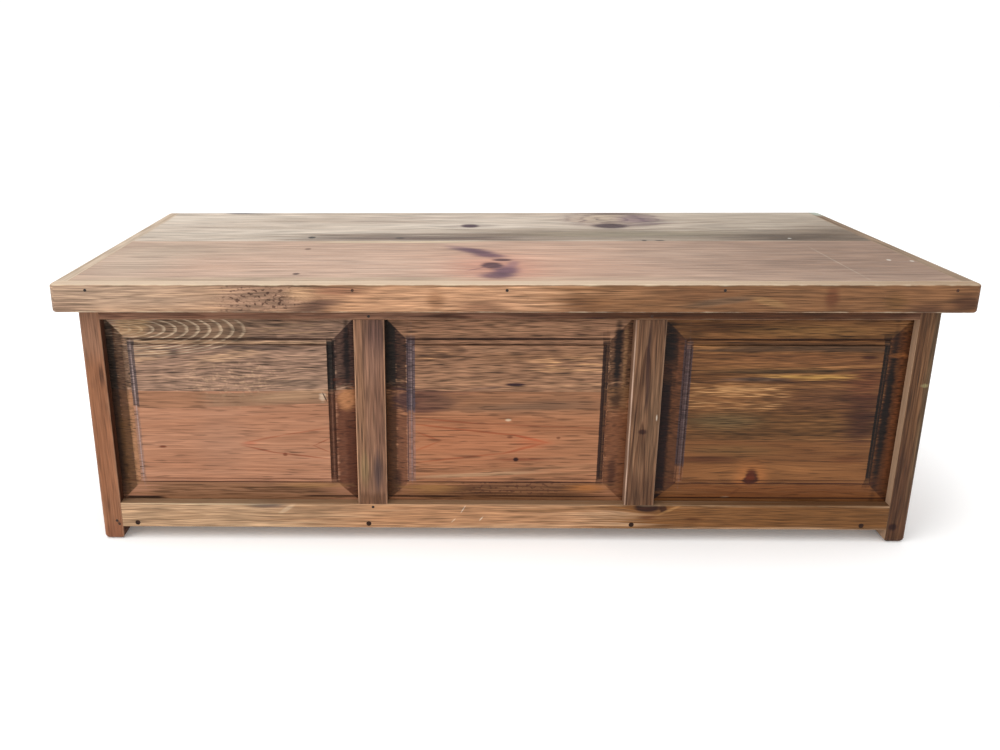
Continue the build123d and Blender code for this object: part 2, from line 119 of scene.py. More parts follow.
def srgb(r, g, b):
    """A colour read as a screen value, as linear light."""
    screen = [c / 255 for c in (r, g, b)]
    linear = [c / 12.92 if c <= 0.04045 else ((c + 0.055) / 1.055) ** 2.4 for c in screen]
    return tuple(linear) + (1.0,)


DARKEST_PAINT = 0.002


def paint(rgb, look):
    """The paint that shows as rgb once the studio's light and the wax's sheen are on it."""
    linear = srgb(*rgb)
    bare = [(c - look["veil"]) / look["lit"] for c in linear[:3]]
    return tuple(max(c, DARKEST_PAINT) for c in bare) + (1.0,)


class Value:
    """An output socket that can be used in formulas."""

    def __init__(self, net, socket):
        self.net = net
        self.socket = socket

    def __add__(self, other):
        return self.net.math("ADD", self, other)

    def __sub__(self, other):
        return self.net.math("SUBTRACT", self, other)

    def __rsub__(self, other):
        return self.net.math("SUBTRACT", other, self)

    def __mul__(self, other):
        return self.net.math("MULTIPLY", self, other)

    def __truediv__(self, other):
        return self.net.math("DIVIDE", self, other)

    def __abs__(self):
        return self.net.math("ABSOLUTE", self)

    __radd__ = __add__
    __rmul__ = __mul__

    def fract(self):
        return self.net.math("FRACT", self)

    def clamp(self):
        return self.net.math("ADD", self, 0.0, clamp=True)

    def low(self, other):
        return self.net.math("MINIMUM", self, other)

    def high(self, other):
        return self.net.math("MAXIMUM", self, other)

    def step(self, start, end):
        """0 at start, 1 at end and beyond, smooth between."""
        return self.net.node(
            "ShaderNodeMapRange",
            {"Value": self, "From Min": start, "From Max": end},
            interpolation_type="SMOOTHSTEP",
        )


SEED_STEPS = (7.3, 3.1, 5.7)  # how far apart along x, y and z the noises of two seeds are taken


class Net:
    """The node tree of a material or of the world."""

    def __init__(self, owner):
        self.owner = owner
        owner.use_nodes = True
        self.tree = owner.node_tree
        self.tree.nodes.clear()
        coordinates = self.tree.nodes.new("ShaderNodeTexCoord")
        self.generated = Value(self, coordinates.outputs["Generated"])
        self.point = Value(self, coordinates.outputs["Object"])
        self.normal = Value(self, coordinates.outputs["Normal"])
        self.xyz = self.split(self.point)

    def node(self, kind, inputs, out=0, **settings):
        made = self.tree.nodes.new(kind)
        for key, value in settings.items():
            setattr(made, key, value)
        for key, value in inputs.items():
            if isinstance(value, Value):
                self.tree.links.new(value.socket, made.inputs[key])
            else:
                made.inputs[key].default_value = value
        return Value(self, made.outputs[out])

    def math(self, operation, a, b=0.0, clamp=False):
        return self.node("ShaderNodeMath", {0: a, 1: b}, operation=operation, use_clamp=clamp)

    def split(self, vector):
        made = self.tree.nodes.new("ShaderNodeSeparateXYZ")
        self.tree.links.new(vector.socket, made.inputs[0])
        return [Value(self, made.outputs[i]) for i in range(3)]

    def join(self, x, y, z=0.0):
        return self.node("ShaderNodeCombineXYZ", {0: x, 1: y, 2: z})

    def stretch(self, vector, scale, shift):
        inputs = {0: vector, 1: scale, 2: shift}
        return self.node("ShaderNodeVectorMath", inputs, operation="MULTIPLY_ADD")

    def length(self, vector):
        return self.node("ShaderNodeVectorMath", {0: vector}, out="Value", operation="LENGTH")

    def noise(self, vector, scale, seed=0.0, detail=2.0, roughness=0.5):
        """Noise from about -0.5 to 0.5; scale is how many waves fit in a metre along each axis."""
        placed = self.stretch(vector, scale, [seed * step for step in SEED_STEPS])
        made = self.node(
            "ShaderNodeTexNoise",
            {"Vector": placed, "Scale": 1.0, "Detail": detail, "Roughness": roughness},
        )
        return made - 0.5

    def mix(self, factor, a, b):
        """Colour a where factor is 0, colour b where it is 1."""
        return self.node("ShaderNodeMix", {0: factor, 6: a, 7: b}, out=2, data_type="RGBA")

    def scale(self, colour, factor):
        return self.node("ShaderNodeVectorMath", {0: colour, "Scale": factor}, operation="SCALE")

    def ramp(self, value, stops):
        made = self.tree.nodes.new("ShaderNodeValToRGB")
        self.tree.links.new(value.socket, made.inputs[0])
        line = made.color_ramp
        while len(line.elements) < len(stops):
            line.elements.new(0.5)
        for element, (at, colour) in zip(line.elements, stops):
            element.position = at
            element.color = colour
        return Value(self, made.outputs[0])

    def finish(self, colour, roughness, height, depth, metallic=0.0, specular=0.5, glow=0.0):
        """Joins up the shader of a material and returns the material."""
        bump = self.node("ShaderNodeBump", {"Strength": 1.0, "Distance": depth, "Height": height})
        shader = self.node(
            "ShaderNodeBsdfPrincipled",
            {
                "Base Color": colour,
                "Roughness": roughness,
                "Metallic": metallic,
                "Specular IOR Level": specular,
                "Emission Color": WHITE,
                "Emission Strength": glow,
                "Normal": bump,
            },
        )
        output = self.tree.nodes.new("ShaderNodeOutputMaterial")
        self.tree.links.new(shader.socket, output.inputs["Surface"])
        return self.owner


# Wood

# Noise scales in waves a metre: (along the grain, across it)
WANDER_SCALE = (1.7, 7.0)
RIPPLE_SCALE = (16.0, 42.0)
FIBRE_SCALE = (7.0, 380.0)
STREAK_SCALE = (2.2, 85.0)
TONE_SCALE = (2.2, 11.0)
PORE_SCALE = (30.0, 420.0)
WEAR_SCALE = (45.0, 45.0, 45.0)
RING_SCALE = (0.43, 1.0, 1.0)  # in rings: some rings are stronger than others
SPECK_SCALE = (150.0, 210.0, 1.0)

EULER = 2.718
KNOT_SOFTNESS = 0.15  # how gently the grain parts round a knot
RING_WANDER = 1.2
LATE_WOOD_START = (0.25, 0.9)  # within a ring, as a share of it
LATE_WOOD_END = (1.0, 0.92)
STRONG_RINGS = (0.3, 0.62)
LATE_WOOD_MEAN = 0.25
COLOUR_STOPS = (0.12, 0.5, 0.9)  # where on the scale of light the three colours of a look lie
THREAD_HEIGHT, LATE_WOOD_HEIGHT = 0.8, 0.6


def turned(vector_scale, along):
    """Scales given as (along the grain, across it) for the three axes."""
    scale = [vector_scale[1]] * 3
    scale[along] = vector_scale[0]
    return tuple(scale)


def board_grain(net, look):
    """One plain board before its marks: colour, height and the noises of its fibres."""
    along, across, depth = look["axes"]
    seed = look["seed"]
    u, v, w = net.xyz[along], net.xyz[across], net.xyz[depth]
    wander = net.noise(net.point, turned(WANDER_SCALE, along), seed)
    ripple = net.noise(net.point, turned(RIPPLE_SCALE, along), seed + 1, detail=1.0)
    bent = v + wander * (2 * look["wander"] * MM) + ripple * (2 * look["ripple"] * MM)
    for at_u, at_v, reach_u, reach_v, push in look["knots"]:
        from_u = (u - at_u * MM) / (reach_u * MM)
        from_v = (v - at_v * MM) / (reach_v * MM)
        near = net.math("POWER", EULER, 0.0 - (from_u * from_u + from_v * from_v))
        side = from_v / net.math("SQRT", from_v * from_v + KNOT_SOFTNESS)
        bent = bent - near * side * (push * MM)
    parts = [None] * 3
    parts[along], parts[across], parts[depth] = u, bent, w
    fibres_at = net.join(*parts)
    centre_u, centre_v, tilt = look["heart"]
    lean = w - look["surface"] + (u - centre_u * MM) * tilt
    aside = bent - centre_v * MM
    radius = net.math("SQRT", aside * aside + lean * lean) / (look["spacing"] * MM)
    turns = radius + wander * RING_WANDER
    saw = turns.fract()
    strong = net.noise(net.join(turns, 0.0), RING_SCALE, seed + 2, detail=1.0) + 0.5
    late = saw.step(*LATE_WOOD_START) * saw.step(*LATE_WOOD_END) * strong.step(*STRONG_RINGS)
    thread_scale = turned(look["thread_scale"], along)
    thread = net.noise(fibres_at, thread_scale, seed + 3, detail=0.6, roughness=0.7)
    fibre = net.noise(fibres_at, turned(FIBRE_SCALE, along), seed + 4, detail=1.0, roughness=0.6)
    streak = net.noise(fibres_at, turned(STREAK_SCALE, along), seed + 5, detail=2.5, roughness=0.6)
    tone = net.noise(fibres_at, turned(TONE_SCALE, along), seed + 6, detail=3.0)
    light = (
        0.5
        - (late - LATE_WOOD_MEAN) * look["ring"]
        + fibre * look["fibre"]
        + streak * look["streak"]
        + tone * look["tone"]
    )
    painted = [paint(colour, look) for colour in look["colours"]]
    colour = net.ramp(light, list(zip(COLOUR_STOPS, painted)))
    height = thread * THREAD_HEIGHT + late * LATE_WOOD_HEIGHT
    return [colour, height, thread, fibre, streak]


MITRE_BLUR = 1.5


def side_of_mitre(net, look):
    """1 on the upright bevels of a panel, up to the mitres at its corners."""
    depths = []
    for axis in look["axes"][:2]:
        low, high = look["box"][0][axis], look["box"][1][axis]
        depths.append((high - low) / 2 - abs(net.xyz[axis] - (low + high) / 2))
    return (depths[1] - depths[0]).step(-MITRE_BLUR * MM, MITRE_BLUR * MM)


FRAY_STREAK, FRAY_FIBRE = 1.3, 1.1
FIGURE_RING_START, FIGURE_RING_END = (0.55, 0.85), (1.0, 0.9)
COMB_EDGE = (-0.04, 0.1)
SPECK_EDGE = (0.05, 0.16)


def mark_mask(net, flat, mark, noises):
    """How much of a mark covers a point: a soft, frayed shape, filled whole or with a figure."""
    _, _, thread, fibre, streak = noises
    local = net.node(
        "ShaderNodeMapping",
        {
            "Vector": flat,
            "Location": (*[at * MM for at in mark["place"]], 0.0),
            "Rotation": (0.0, 0.0, math.radians(mark["angle"])),
            "Scale": (*[size * MM for size in mark["reach"]], 1.0),
        },
        vector_type="TEXTURE",
    )
    if mark["shape"] == "oval":
        far = net.length(local)
    else:
        side_u, side_v, _ = net.split(
            net.node("ShaderNodeVectorMath", {0: local}, operation="ABSOLUTE")
        )
        far = side_u.high(side_v)
    if mark["fray"]:
        far = far + (streak * FRAY_STREAK + fibre * FRAY_FIBRE) * mark["fray"]
    mask = far.step(1 + mark["soft"], 1 - mark["soft"]) * mark["strength"]
    if mark["figure"] == "rings":
        turns = (far * mark["count"] + streak * 0.5 + thread * 0.2).fract()
        mask = mask * turns.step(*FIGURE_RING_START) * turns.step(*FIGURE_RING_END)
    elif mark["figure"] == "comb":
        mask = mask * (streak * 0.5 + fibre * 0.8 + thread * 0.5).step(*COMB_EDGE)
    elif mark["figure"] == "speck":
        speckle = net.noise(flat, SPECK_SCALE, mark["count"], detail=1.0)
        mask = mask * speckle.step(*SPECK_EDGE)
    return mask


JOINT_BLUR = 0.3
PORE_EDGE = (0.1, 0.26)
DEEPEST_SHADE = 0.25
FACE_EDGE = (0.55, 0.85)
END_GRAIN_EDGE = (0.75, 0.95)
FACE_STREAK = 0.8
WEAR_PATCHES = 5
ROUGH_FIBRE, ROUGH_PATCHES = 0.25, 0.15


def wood(name, look):
    """A stained and waxed board, or boards glued edge to edge, with the look's marks."""
    net = Net(bpy.data.materials.new(name))
    along, across, depth = look["axes"]
    u, v, w = net.xyz[along], net.xyz[across], net.xyz[depth]
    flat = net.join(u, v)
    noises = board_grain(net, look)
    thread_strength = look["thread"]
    for joint_at, other in look["boards"]:
        below = v.step((joint_at + JOINT_BLUR) * MM, (joint_at - JOINT_BLUR) * MM)
        second = board_grain(net, dict(look, **other))
        thread_strength = below * (other["thread"] - look["thread"]) + look["thread"]
        noises = [net.mix(below, noises[0], second[0])] + [
            first + (later - first) * below for first, later in zip(noises[1:], second[1:])
        ]
    colour, height, thread, fibre, streak = noises
    skin = None
    if look["skin"]:
        skin = w.step(*look["skin"])
    mitre = None
    if any(mark["mitre"] for mark in look["marks"]):
        mitre = side_of_mitre(net, look)
    for mark in look["marks"]:
        mask = mark_mask(net, flat, mark, noises)
        if mark["mitre"]:
            mask = mask * mitre
        if skin is not None:
            mask = mask * skin
        colour = net.mix(mask, colour, paint(mark["colour"], look))
    pores = net.noise(net.point, turned(PORE_SCALE, along), look["seed"] + 7, detail=0.0)
    pores = pores.step(*PORE_EDGE) * look["pores"]
    shade = 1.0 + thread * thread_strength + fibre * look["shade"] - pores
    colour = net.scale(colour, shade.high(DEEPEST_SHADE))
    normals = net.split(net.normal)
    # Faces turned one way get a tint of their own: painted light on sides turned to the lamp,
    # painted shade on sides turned away, painted sheen on the front strip's top
    for axis, sign, tint, amount, ends in look["faces"]:
        facing = (normals[axis] * sign).step(*FACE_EDGE) * amount
        facing = facing * (1.0 + streak * FACE_STREAK)
        if ends:
            other_tint, start, end = ends
            tint = net.mix(u.step(start * MM, end * MM), paint(tint, look), paint(other_tint, look))
        else:
            tint = paint(tint, look)
        colour = net.mix(facing.clamp(), colour, tint)
    low, high = look["box"]
    near = []
    for axis in range(3):
        middle, half = (low[axis] + high[axis]) / 2, (high[axis] - low[axis]) / 2
        near.append(half - abs(net.xyz[axis] - middle))
    arris = near[0].low(near[1]).high(near[0].high(near[1]).low(near[2]))
    patchy = net.noise(net.point, WEAR_SCALE, look["seed"] + 8, detail=3.0)
    worn = (arris - patchy * (WEAR_PATCHES * MM)).step(look["wear_width"] * MM, 0.0)
    colour = net.mix(worn * look["wear"], colour, paint(look["wear_colour"], look))
    end = abs(normals[along]).step(*END_GRAIN_EDGE)
    colour = net.mix(end * look["end"], colour, paint(look["end_colour"], look))
    roughness = 0.0 - fibre * ROUGH_FIBRE + patchy * ROUGH_PATCHES + look["roughness"]
    return net.finish(
        colour, roughness.clamp(), height, look["bump"] * MM, specular=look["specular"]
    )


# What a look says. Places and sizes are in mm, along the grain (u) and across it (v); surface and
# skin are in metres along the third axis. Colours are as they show on the screen.
PLAIN = {
    "axes": (X, Z, Y),  # along the grain, across it, through the board
    "seed": 1.0,
    "colours": ((84, 58, 40), (140, 104, 76), (188, 148, 110)),  # dark, middle, pale
    "heart": (0.0, 0.0, 0.05),  # the log's heart: u, v, and its slope away from the surface
    "surface": 0.0,
    "spacing": 7.0,  # of the year rings
    "wander": 3.0,
    "ripple": 0.5,
    "ring": 0.18,
    "fibre": 0.5,
    "streak": 0.5,
    "tone": 0.6,
    "thread_scale": (26.0, 620.0),
    "thread": 1.7,
    "shade": 0.4,
    "pores": 0.2,
    "knots": (),  # u, v, reach along u and v, push on the grain
    "boards": (),  # where a second board is glued on below, and what differs in its look
    "marks": (),
    "skin": None,  # marks fade from nothing at the first depth to full at the second
    # faces: tints by the way a face is turned, which carry painted light, painted shade and painted
    # sheen
    "faces": (),  # axis, side, tint, amount, and a second tint between two places along u
    "wear": 0.35,
    "wear_width": 3.0,
    "wear_colour": (190, 160, 128),
    "end": 0.75,
    "end_colour": (70, 48, 35),
    "roughness": 0.5,
    "bump": 0.5,
    "lit": 1.2,  # how much brighter than its paint the studio shows the surface
    "veil": 0.014,  # the sheen of the wax
    "specular": 0.16,
}


GRIME_SCALE = (60.0, 60.0, 60.0)
PIT_SCALE = (420.0, 420.0, 420.0)
RUST_EDGE = (-0.02, 0.16)
IRON_STOPS = ((0.25, srgb(24, 21, 20)), (0.75, srgb(62, 56, 52)))
RUST_COLOUR = srgb(92, 56, 38)
IRON_ROUGHNESS = 0.42
PIT_DEPTH = 0.4
NAIL_RUST, HINGE_RUST = 0.8, 0.5


def iron(name, rust):
    """Blackened iron with rust in patches."""
    net = Net(bpy.data.materials.new(name))
    grime = net.noise(net.point, GRIME_SCALE, rust, detail=4.0, roughness=0.65)
    pits = net.noise(net.point, PIT_SCALE, rust + 1, detail=3.0)
    rusty = (grime + pits * 0.4).step(*RUST_EDGE)
    colour = net.ramp(grime + 0.5, IRON_STOPS)
    colour = net.mix(rusty * rust, colour, RUST_COLOUR)
    roughness = (rusty * 0.35 + IRON_ROUGHNESS + pits * 0.3).clamp()
    return net.finish(colour, roughness, pits + grime, PIT_DEPTH * MM, metallic=0.75)


def mark(
    shape, place, reach, colour, strength, soft, fray, angle=0.0, figure="", count=3.0, mitre=False
):
    """A mark on the grain: stains and figures, and also painted shade and painted highlights; place
    and reach are (along the grain, across it).
    """
    return {
        "shape": shape,
        "place": place,
        "reach": reach,
        "colour": colour,
        "strength": strength,
        "soft": soft,
        "fray": fray,
        "angle": angle,
        "figure": figure,
        "count": count,
        "mitre": mitre,
    }


def oval(u, v, reach_u, reach_v, colour, strength, soft, fray, angle=0.0, figure="", count=3.0):
    reach = (reach_u, reach_v)
    return mark("oval", (u, v), reach, colour, strength, soft, fray, angle, figure, count)


def box(u0, u1, v0, v1, colour, strength, soft, fray, angle=0.0, figure="", mitre=False):
    place = ((u0 + u1) / 2, (v0 + v1) / 2)
    reach = ((u1 - u0) / 2, (v1 - v0) / 2)
    return mark("box", place, reach, colour, strength, soft, fray, angle, figure, mitre=mitre)


def bevel(u0, u1, v0, v1, colour, strength, soft, fray):
    """A mark that keeps to an upright bevel of a panel: mostly painted shade and the painted
    shadows of the posts and muntins, with some stain.
    """
    return box(u0, u1, v0, v1, colour, strength, soft, fray, mitre=True)


def line(u0, v0, u1, v1, width, colour, strength=0.8, soft=0.5, fray=0.4):
    place = ((u0 + u1) / 2, (v0 + v1) / 2)
    reach = (math.hypot(u1 - u0, v1 - v0) / 2, width / 2)
    angle = math.degrees(math.atan2(v1 - v0, u1 - u0))
    return mark("oval", place, reach, colour, strength, soft, fray, angle)


# Grain directions: along, across, through
ALONG_X_FRONT = (X, Z, Y)
ALONG_X_TOP = (X, Y, Z)
ALONG_Y_TOP = (Y, X, Z)
ALONG_Z = (Z, X, Y)

# The posts and muntins, and the rails, of the front
FRONT_FACE = -0.281
UPRIGHT = {"axes": ALONG_Z, "surface": FRONT_FACE}
LEVEL = {"axes": ALONG_X_FRONT, "surface": FRONT_FACE}
# The lid's outer boards, waxed and seen at a low angle; their pale, greyed colours are partly
# painted sheen
TOP = {
    "veil": 0.07,
    "lit": 1.3,
    "specular": 0.35,
    "surface": 0.404,
    "skin": (0.396, 0.401),
    "thread_scale": (14.0, 150.0),
    "thread": 0.7,
    "shade": 0.35,
    "pores": 0.1,
    "faces": ((Z, -1, (170, 132, 94), 0.7, None),),
    "end": 0.5,
    "end_colour": (122, 98, 78),
}
# Unstained wood inside, and the plain dark wood of the back
INNER = {
    "colours": ((140, 106, 72), (184, 148, 108), (212, 180, 138)),
    "wear": 0.1,
    "end": 0.4,
}
BACK = {"colours": ((70, 54, 43), (112, 88, 70), (146, 118, 94)), "wear": 0.2}

LOOKS = {
    "lid_back_board": dict(
        TOP,
        thread=1.15,
        axes=ALONG_X_TOP,
        colours=((172, 154, 138), (214, 198, 182), (232, 221, 206)),
        heart=(-300.0, 205.0, 0.05),
        spacing=9.0,
        tone=0.8,
        knots=((215, 215, 90, 90, 40), (-46, 155, 60, 45, 20), (-493, 296, 60, 30, 14)),
        marks=(
            # the darker right end: painted shade of the side away from the light, over the wood's
            # own tone
            oval(620, 160, 320, 240, (176, 162, 146), 0.8, 1.0, 0.2),
            oval(-480, 60, 170, 34, (190, 174, 158), 0.5, 0.8, 0.9),
            oval(-190, 200, 150, 16, (170, 152, 138), 0.5, 0.7, 1.0),
            oval(-120, 245, 170, 10, (172, 152, 142), 0.5, 0.7, 1.0),
            box(-60, 640, 6, 120, (156, 141, 126), 0.75, 0.45, 1.2),
            box(-330, 60, 8, 78, (136, 120, 108), 0.8, 0.4, 1.2),
            box(40, 560, 20, 84, (142, 128, 114), 0.6, 0.6, 1.4, 0, "comb"),
            oval(-120, 34, 180, 15, (116, 102, 98), 0.6, 0.7, 1.2),
            oval(240, 75, 160, 28, (148, 140, 120), 0.5, 0.8, 0.9),
            oval(520, 40, 130, 34, (96, 84, 74), 0.8, 0.8, 1.0),
            oval(600, 80, 80, 70, (124, 108, 94), 0.7, 0.8, 0.9),
            oval(-493, 300, 24, 9, (98, 86, 86), 0.85, 0.5, 0.8),
            oval(-470, 296, 60, 5, (120, 108, 104), 0.6, 0.6, 1.0),
            oval(-46, 155, 50, 7, (122, 107, 108), 0.7, 0.7, 1.2),
            oval(-46, 155, 17, 18, (92, 78, 86), 0.92, 0.3, 0.5),
            # the swirl round the right-hand knot
            oval(222, 232, 84, 92, (170, 148, 138), 0.7, 0.5, 0.4),
            oval(222, 240, 60, 60, (216, 196, 172), 0.6, 0.6, 0.5),
            oval(222, 232, 88, 96, (112, 96, 98), 0.6, 0.2, 0.4, figure="rings", count=3.0),
            oval(268, 232, 34, 44, (122, 104, 114), 0.7, 0.7, 0.9),
            oval(235, 292, 56, 12, (108, 94, 90), 0.75, 0.5, 0.8),
            oval(208, 154, 30, 26, (88, 76, 80), 0.9, 0.35, 0.5),
            line(235, 160, 330, 192, 16, (120, 105, 106), 0.65, 0.7, 0.9),
            oval(-318, 41, 6, 9, (52, 44, 42), 0.9, 0.4, 0.4),
            oval(-168, 36, 8, 5, (70, 60, 56), 0.85, 0.4, 0.4),
            oval(241, 12, 4, 5, (60, 50, 46), 0.85, 0.4, 0.4),
            oval(267, 12, 8, 4, (60, 50, 46), 0.85, 0.4, 0.4),
            oval(488, 31, 3, 4, (232, 226, 216), 0.9, 0.3, 0.2),
        ),
    ),
    "lid_front_board": dict(
        TOP,
        thread=0.95,
        axes=ALONG_X_TOP,
        colours=((178, 148, 130), (207, 177, 158), (224, 198, 179)),
        heart=(-500.0, -120.0, 0.06),
        spacing=12.0,
        ring=0.1,
        fibre=0.35,
        streak=0.3,
        tone=0.6,
        knots=((-20, -170, 70, 60, 20),),
        marks=(
            # the darker right end: painted shade of the side away from the light, over the wood's
            # own tone
            oval(610, -120, 390, 260, (157, 133, 118), 0.9, 1.0, 0.2),
            oval(-500, -60, 140, 60, (186, 167, 150), 0.6, 0.8, 0.8),
            oval(-560, -170, 60, 110, (200, 184, 166), 0.5, 0.9, 0.8),
            oval(20, -170, 130, 110, (214, 166, 142), 0.5, 1.0, 0.3),
            box(-620, 150, -289, -266, (196, 178, 154), 0.5, 0.6, 1.0),
            box(-290, -60, -8, 6, (226, 208, 178), 0.75, 0.4, 0.9),
            # the feather of dark heartwood
            oval(-18, -196, 56, 78, (212, 150, 132), 0.55, 0.9, 0.4),
            oval(-60, -62, 34, 13, (132, 108, 116), 0.7, 0.7, 1.0, -46),
            oval(-30, -98, 44, 18, (112, 88, 102), 0.85, 0.6, 1.0, -56),
            oval(-4, -147, 15, 9, (92, 72, 82), 0.85, 0.4, 0.6),
            oval(-21, -187, 16, 21, (94, 72, 84), 0.9, 0.35, 0.5),
            oval(-3, -222, 16, 30, (112, 90, 106), 0.85, 0.6, 1.0, -12),
            oval(-18, -256, 20, 18, (108, 86, 100), 0.8, 0.6, 1.0),
            oval(10, -178, 8, 26, (150, 116, 124), 0.6, 0.7, 1.0, -12),
            line(-60, -225, -24, -190, 5, (150, 112, 112), 0.6),
            box(493, 495, -263, -62, (206, 190, 172), 0.5, 0.5, 0.8),
            oval(577, -147, 3, 4, (230, 222, 210), 0.9, 0.3, 0.2),
            oval(608, -155, 3, 4, (230, 222, 210), 0.9, 0.3, 0.2),
            oval(-303, -244, 5, 6, (90, 72, 66), 0.85, 0.4, 0.4),
            oval(-311, -60, 5, 7, (120, 100, 92), 0.75, 0.4, 0.4),
            box(-580, -524, -128, -121, (150, 130, 116), 0.6, 0.5, 0.8),
        ),
    ),
    "lid_left_strip": dict(
        TOP,
        axes=ALONG_Y_TOP,
        # paler than the right strip, with a pale line along the outer edge: painted light and sheen
        # on the lit left end
        colours=((168, 146, 124), (206, 184, 162), (226, 208, 188)),
        marks=(box(-290, 310, -635, -630, (228, 214, 196), 0.6, 0.5, 0.8),),
        wear=0.5,
        wear_colour=(224, 208, 186),
    ),
    "lid_right_strip": dict(
        TOP,
        axes=ALONG_Y_TOP,
        # darker than the left strip: the wood's own tone with painted shade of the right end
        colours=((120, 100, 82), (158, 136, 116), (190, 168, 146)),
        marks=(
            oval(300, 625, 30, 20, (206, 214, 200), 0.85, 0.6, 0.5),
            box(-290, 300, 614, 617, (96, 78, 66), 0.6, 0.6, 1.0),
        ),
        wear=0.4,
        wear_colour=(190, 168, 142),
    ),
    "floor_pegs": dict(
        axes=ALONG_X_FRONT,
        colours=((40, 30, 26), (58, 42, 35), (76, 56, 46)),
        wear=0.0,
        end=0.0,
    ),
    "lid_front_strip": dict(
        axes=ALONG_X_FRONT,
        surface=-0.309,
        colours=((122, 86, 63), (174, 130, 98), (210, 168, 130)),
        heart=(-335.0, 384.0, 0.10),
        fibre=0.42,
        streak=0.4,
        spacing=4.0,
        wander=2.0,
        knots=((-335, 384, 60, 30, 6),),
        skin=(-0.300, -0.306),
        marks=(
            oval(-580, 392, 210, 34, (176, 150, 128), 0.85, 0.9, 0.4),
            oval(-625, 370, 40, 14, (142, 116, 98), 0.7, 0.8, 0.5),
            box(-220, 90, 364, 404, (200, 154, 120), 0.65, 0.6, 0.5),
            box(-388, -286, 362, 406, (158, 126, 106), 0.7, 0.4, 0.9),
            oval(-337, 386, 60, 34, (104, 78, 66), 0.5, 0.5, 1.2, 20, "rings", 6.0),
            oval(-300, 388, 30, 26, (104, 78, 66), 0.5, 0.5, 1.2, -30, "rings", 5.0),
            box(-390, -292, 366, 402, (74, 52, 46), 0.8, 0.4, 1.0, 0, "speck"),
            oval(-272, 371, 34, 9, (92, 68, 60), 0.85, 0.7, 0.6, 14),
            oval(-288, 392, 18, 9, (196, 156, 120), 0.7, 0.8, 0.6),
            oval(-240, 395, 30, 6, (140, 96, 76), 0.7, 0.8, 0.8),
            oval(-103, 380, 10, 14, (132, 92, 66), 0.6, 0.8, 0.8),
            oval(-40, 372, 34, 8, (120, 84, 66), 0.7, 0.8, 0.8),
            oval(104, 376, 28, 12, (88, 60, 50), 0.8, 0.7, 0.8),
            oval(95, 396, 50, 6, (186, 140, 102), 0.5, 0.6, 0.8),
            # the darker right part: the wood's own tone with painted shade of the right-hand side
            box(70, 700, 360, 406, (123, 87, 61), 0.9, 0.2, 0.4),
            oval(150, 392, 60, 8, (160, 118, 86), 0.5, 0.7, 0.8),
            oval(250, 390, 60, 9, (118, 82, 60), 0.5, 0.7, 0.8),
            line(238, 374, 330, 386, 10, (104, 84, 68), 0.7),
            line(330, 384, 372, 374, 10, (166, 128, 88), 0.6),
            oval(434, 386, 9, 14, (98, 60, 46), 0.7, 0.6, 0.6),
            oval(616, 377, 22, 12, (78, 54, 44), 0.8, 0.6, 0.5),
            oval(566, 369, 26, 8, (86, 60, 48), 0.75, 0.7, 0.6),
            oval(520, 378, 14, 12, (104, 76, 50), 0.6, 0.7, 0.6),
            box(-460, 560, 400.5, 403.2, (104, 80, 62), 0.6, 0.6, 1.2),
            box(-300, 620, 363, 366, (100, 74, 58), 0.6, 0.8, 1.0),
        ),
        # the top face paler than the front and fading darker towards the right: painted sheen
        faces=((Z, 1, (210, 188, 164), 0.85, ((170, 147, 122), 60, 640)),),
        wear=0.6,
        wear_width=2.5,
        wear_colour=(222, 202, 172),
    ),
    "front_left_post": dict(
        UPRIGHT,
        colours=((102, 65, 47), (136, 91, 66), (162, 115, 87)),
        heart=(-200.0, -600.0, 0.03),
        spacing=7.0,
        ring=0.08,
        streak=0.25,
        fibre=0.3,
        thread=0.9,
        marks=(
            box(290, 384, -612, -578, (146, 112, 92), 0.6, 0.5, 0.6),
            oval(262, -585, 16, 4, (92, 64, 52), 0.7, 0.6, 0.8),
            box(60, 200, -612, -578, (142, 94, 68), 0.5, 0.5, 0.6),
            box(0, 26, -612, -578, (140, 92, 70), 0.6, 0.5, 0.6),
            oval(28, -585, 3, 2, (70, 42, 34), 0.5, 0.4, 0.4),
        ),
        # painted shade on the right side face, turned away from the light
        faces=((X, 1, (58, 38, 28), 0.8, None),),
        wear=0.3,
        wear_colour=(186, 146, 118),
    ),
    "front_right_post": dict(
        UPRIGHT,
        # darker than the left post: the wood's own tone with painted shade of the right-hand side
        colours=((68, 47, 36), (100, 71, 52), (128, 96, 70)),
        heart=(-200.0, 600.0, 0.03),
        spacing=5.0,
        wander=2.5,
        marks=(
            box(0, 150, 570, 602, (80, 56, 46), 0.5, 0.5, 0.6),
            box(100, 384, 592, 602, (90, 77, 60), 0.6, 0.6, 0.6),
            oval(250, 592, 3, 5, (152, 140, 100), 0.8, 0.5, 0.6),
            oval(26, 580, 5, 6, (48, 30, 28), 0.85, 0.5, 0.4),
        ),
        # painted light on the left side face, turned to the light
        faces=((X, -1, (192, 158, 130), 0.92, None),),
        wear=0.2,
        wear_colour=(150, 116, 88),
    ),
    "front_left_muntin": dict(
        UPRIGHT,
        colours=((88, 63, 52), (125, 92, 74), (154, 117, 93)),
        heart=(-400.0, -190.0, 0.03),
        spacing=4.0,
        wander=2.0,
        marks=(
            box(60, 350, -221, -206, (150, 112, 84), 0.5, 0.6, 0.8),
            oval(318, -190, 36, 16, (98, 74, 68), 0.75, 0.7, 0.8),
            oval(276, -195, 30, 12, (152, 114, 94), 0.6, 0.7, 0.8),
            oval(200, -186, 60, 6, (112, 82, 68), 0.6, 0.7, 0.8),
            oval(112, -190, 26, 7, (84, 68, 66), 0.8, 0.7, 0.8),
            oval(118, -209, 22, 7, (142, 118, 84), 0.6, 0.7, 0.8),
            box(58, 78, -221, -175, (94, 66, 50), 0.7, 0.6, 0.8),
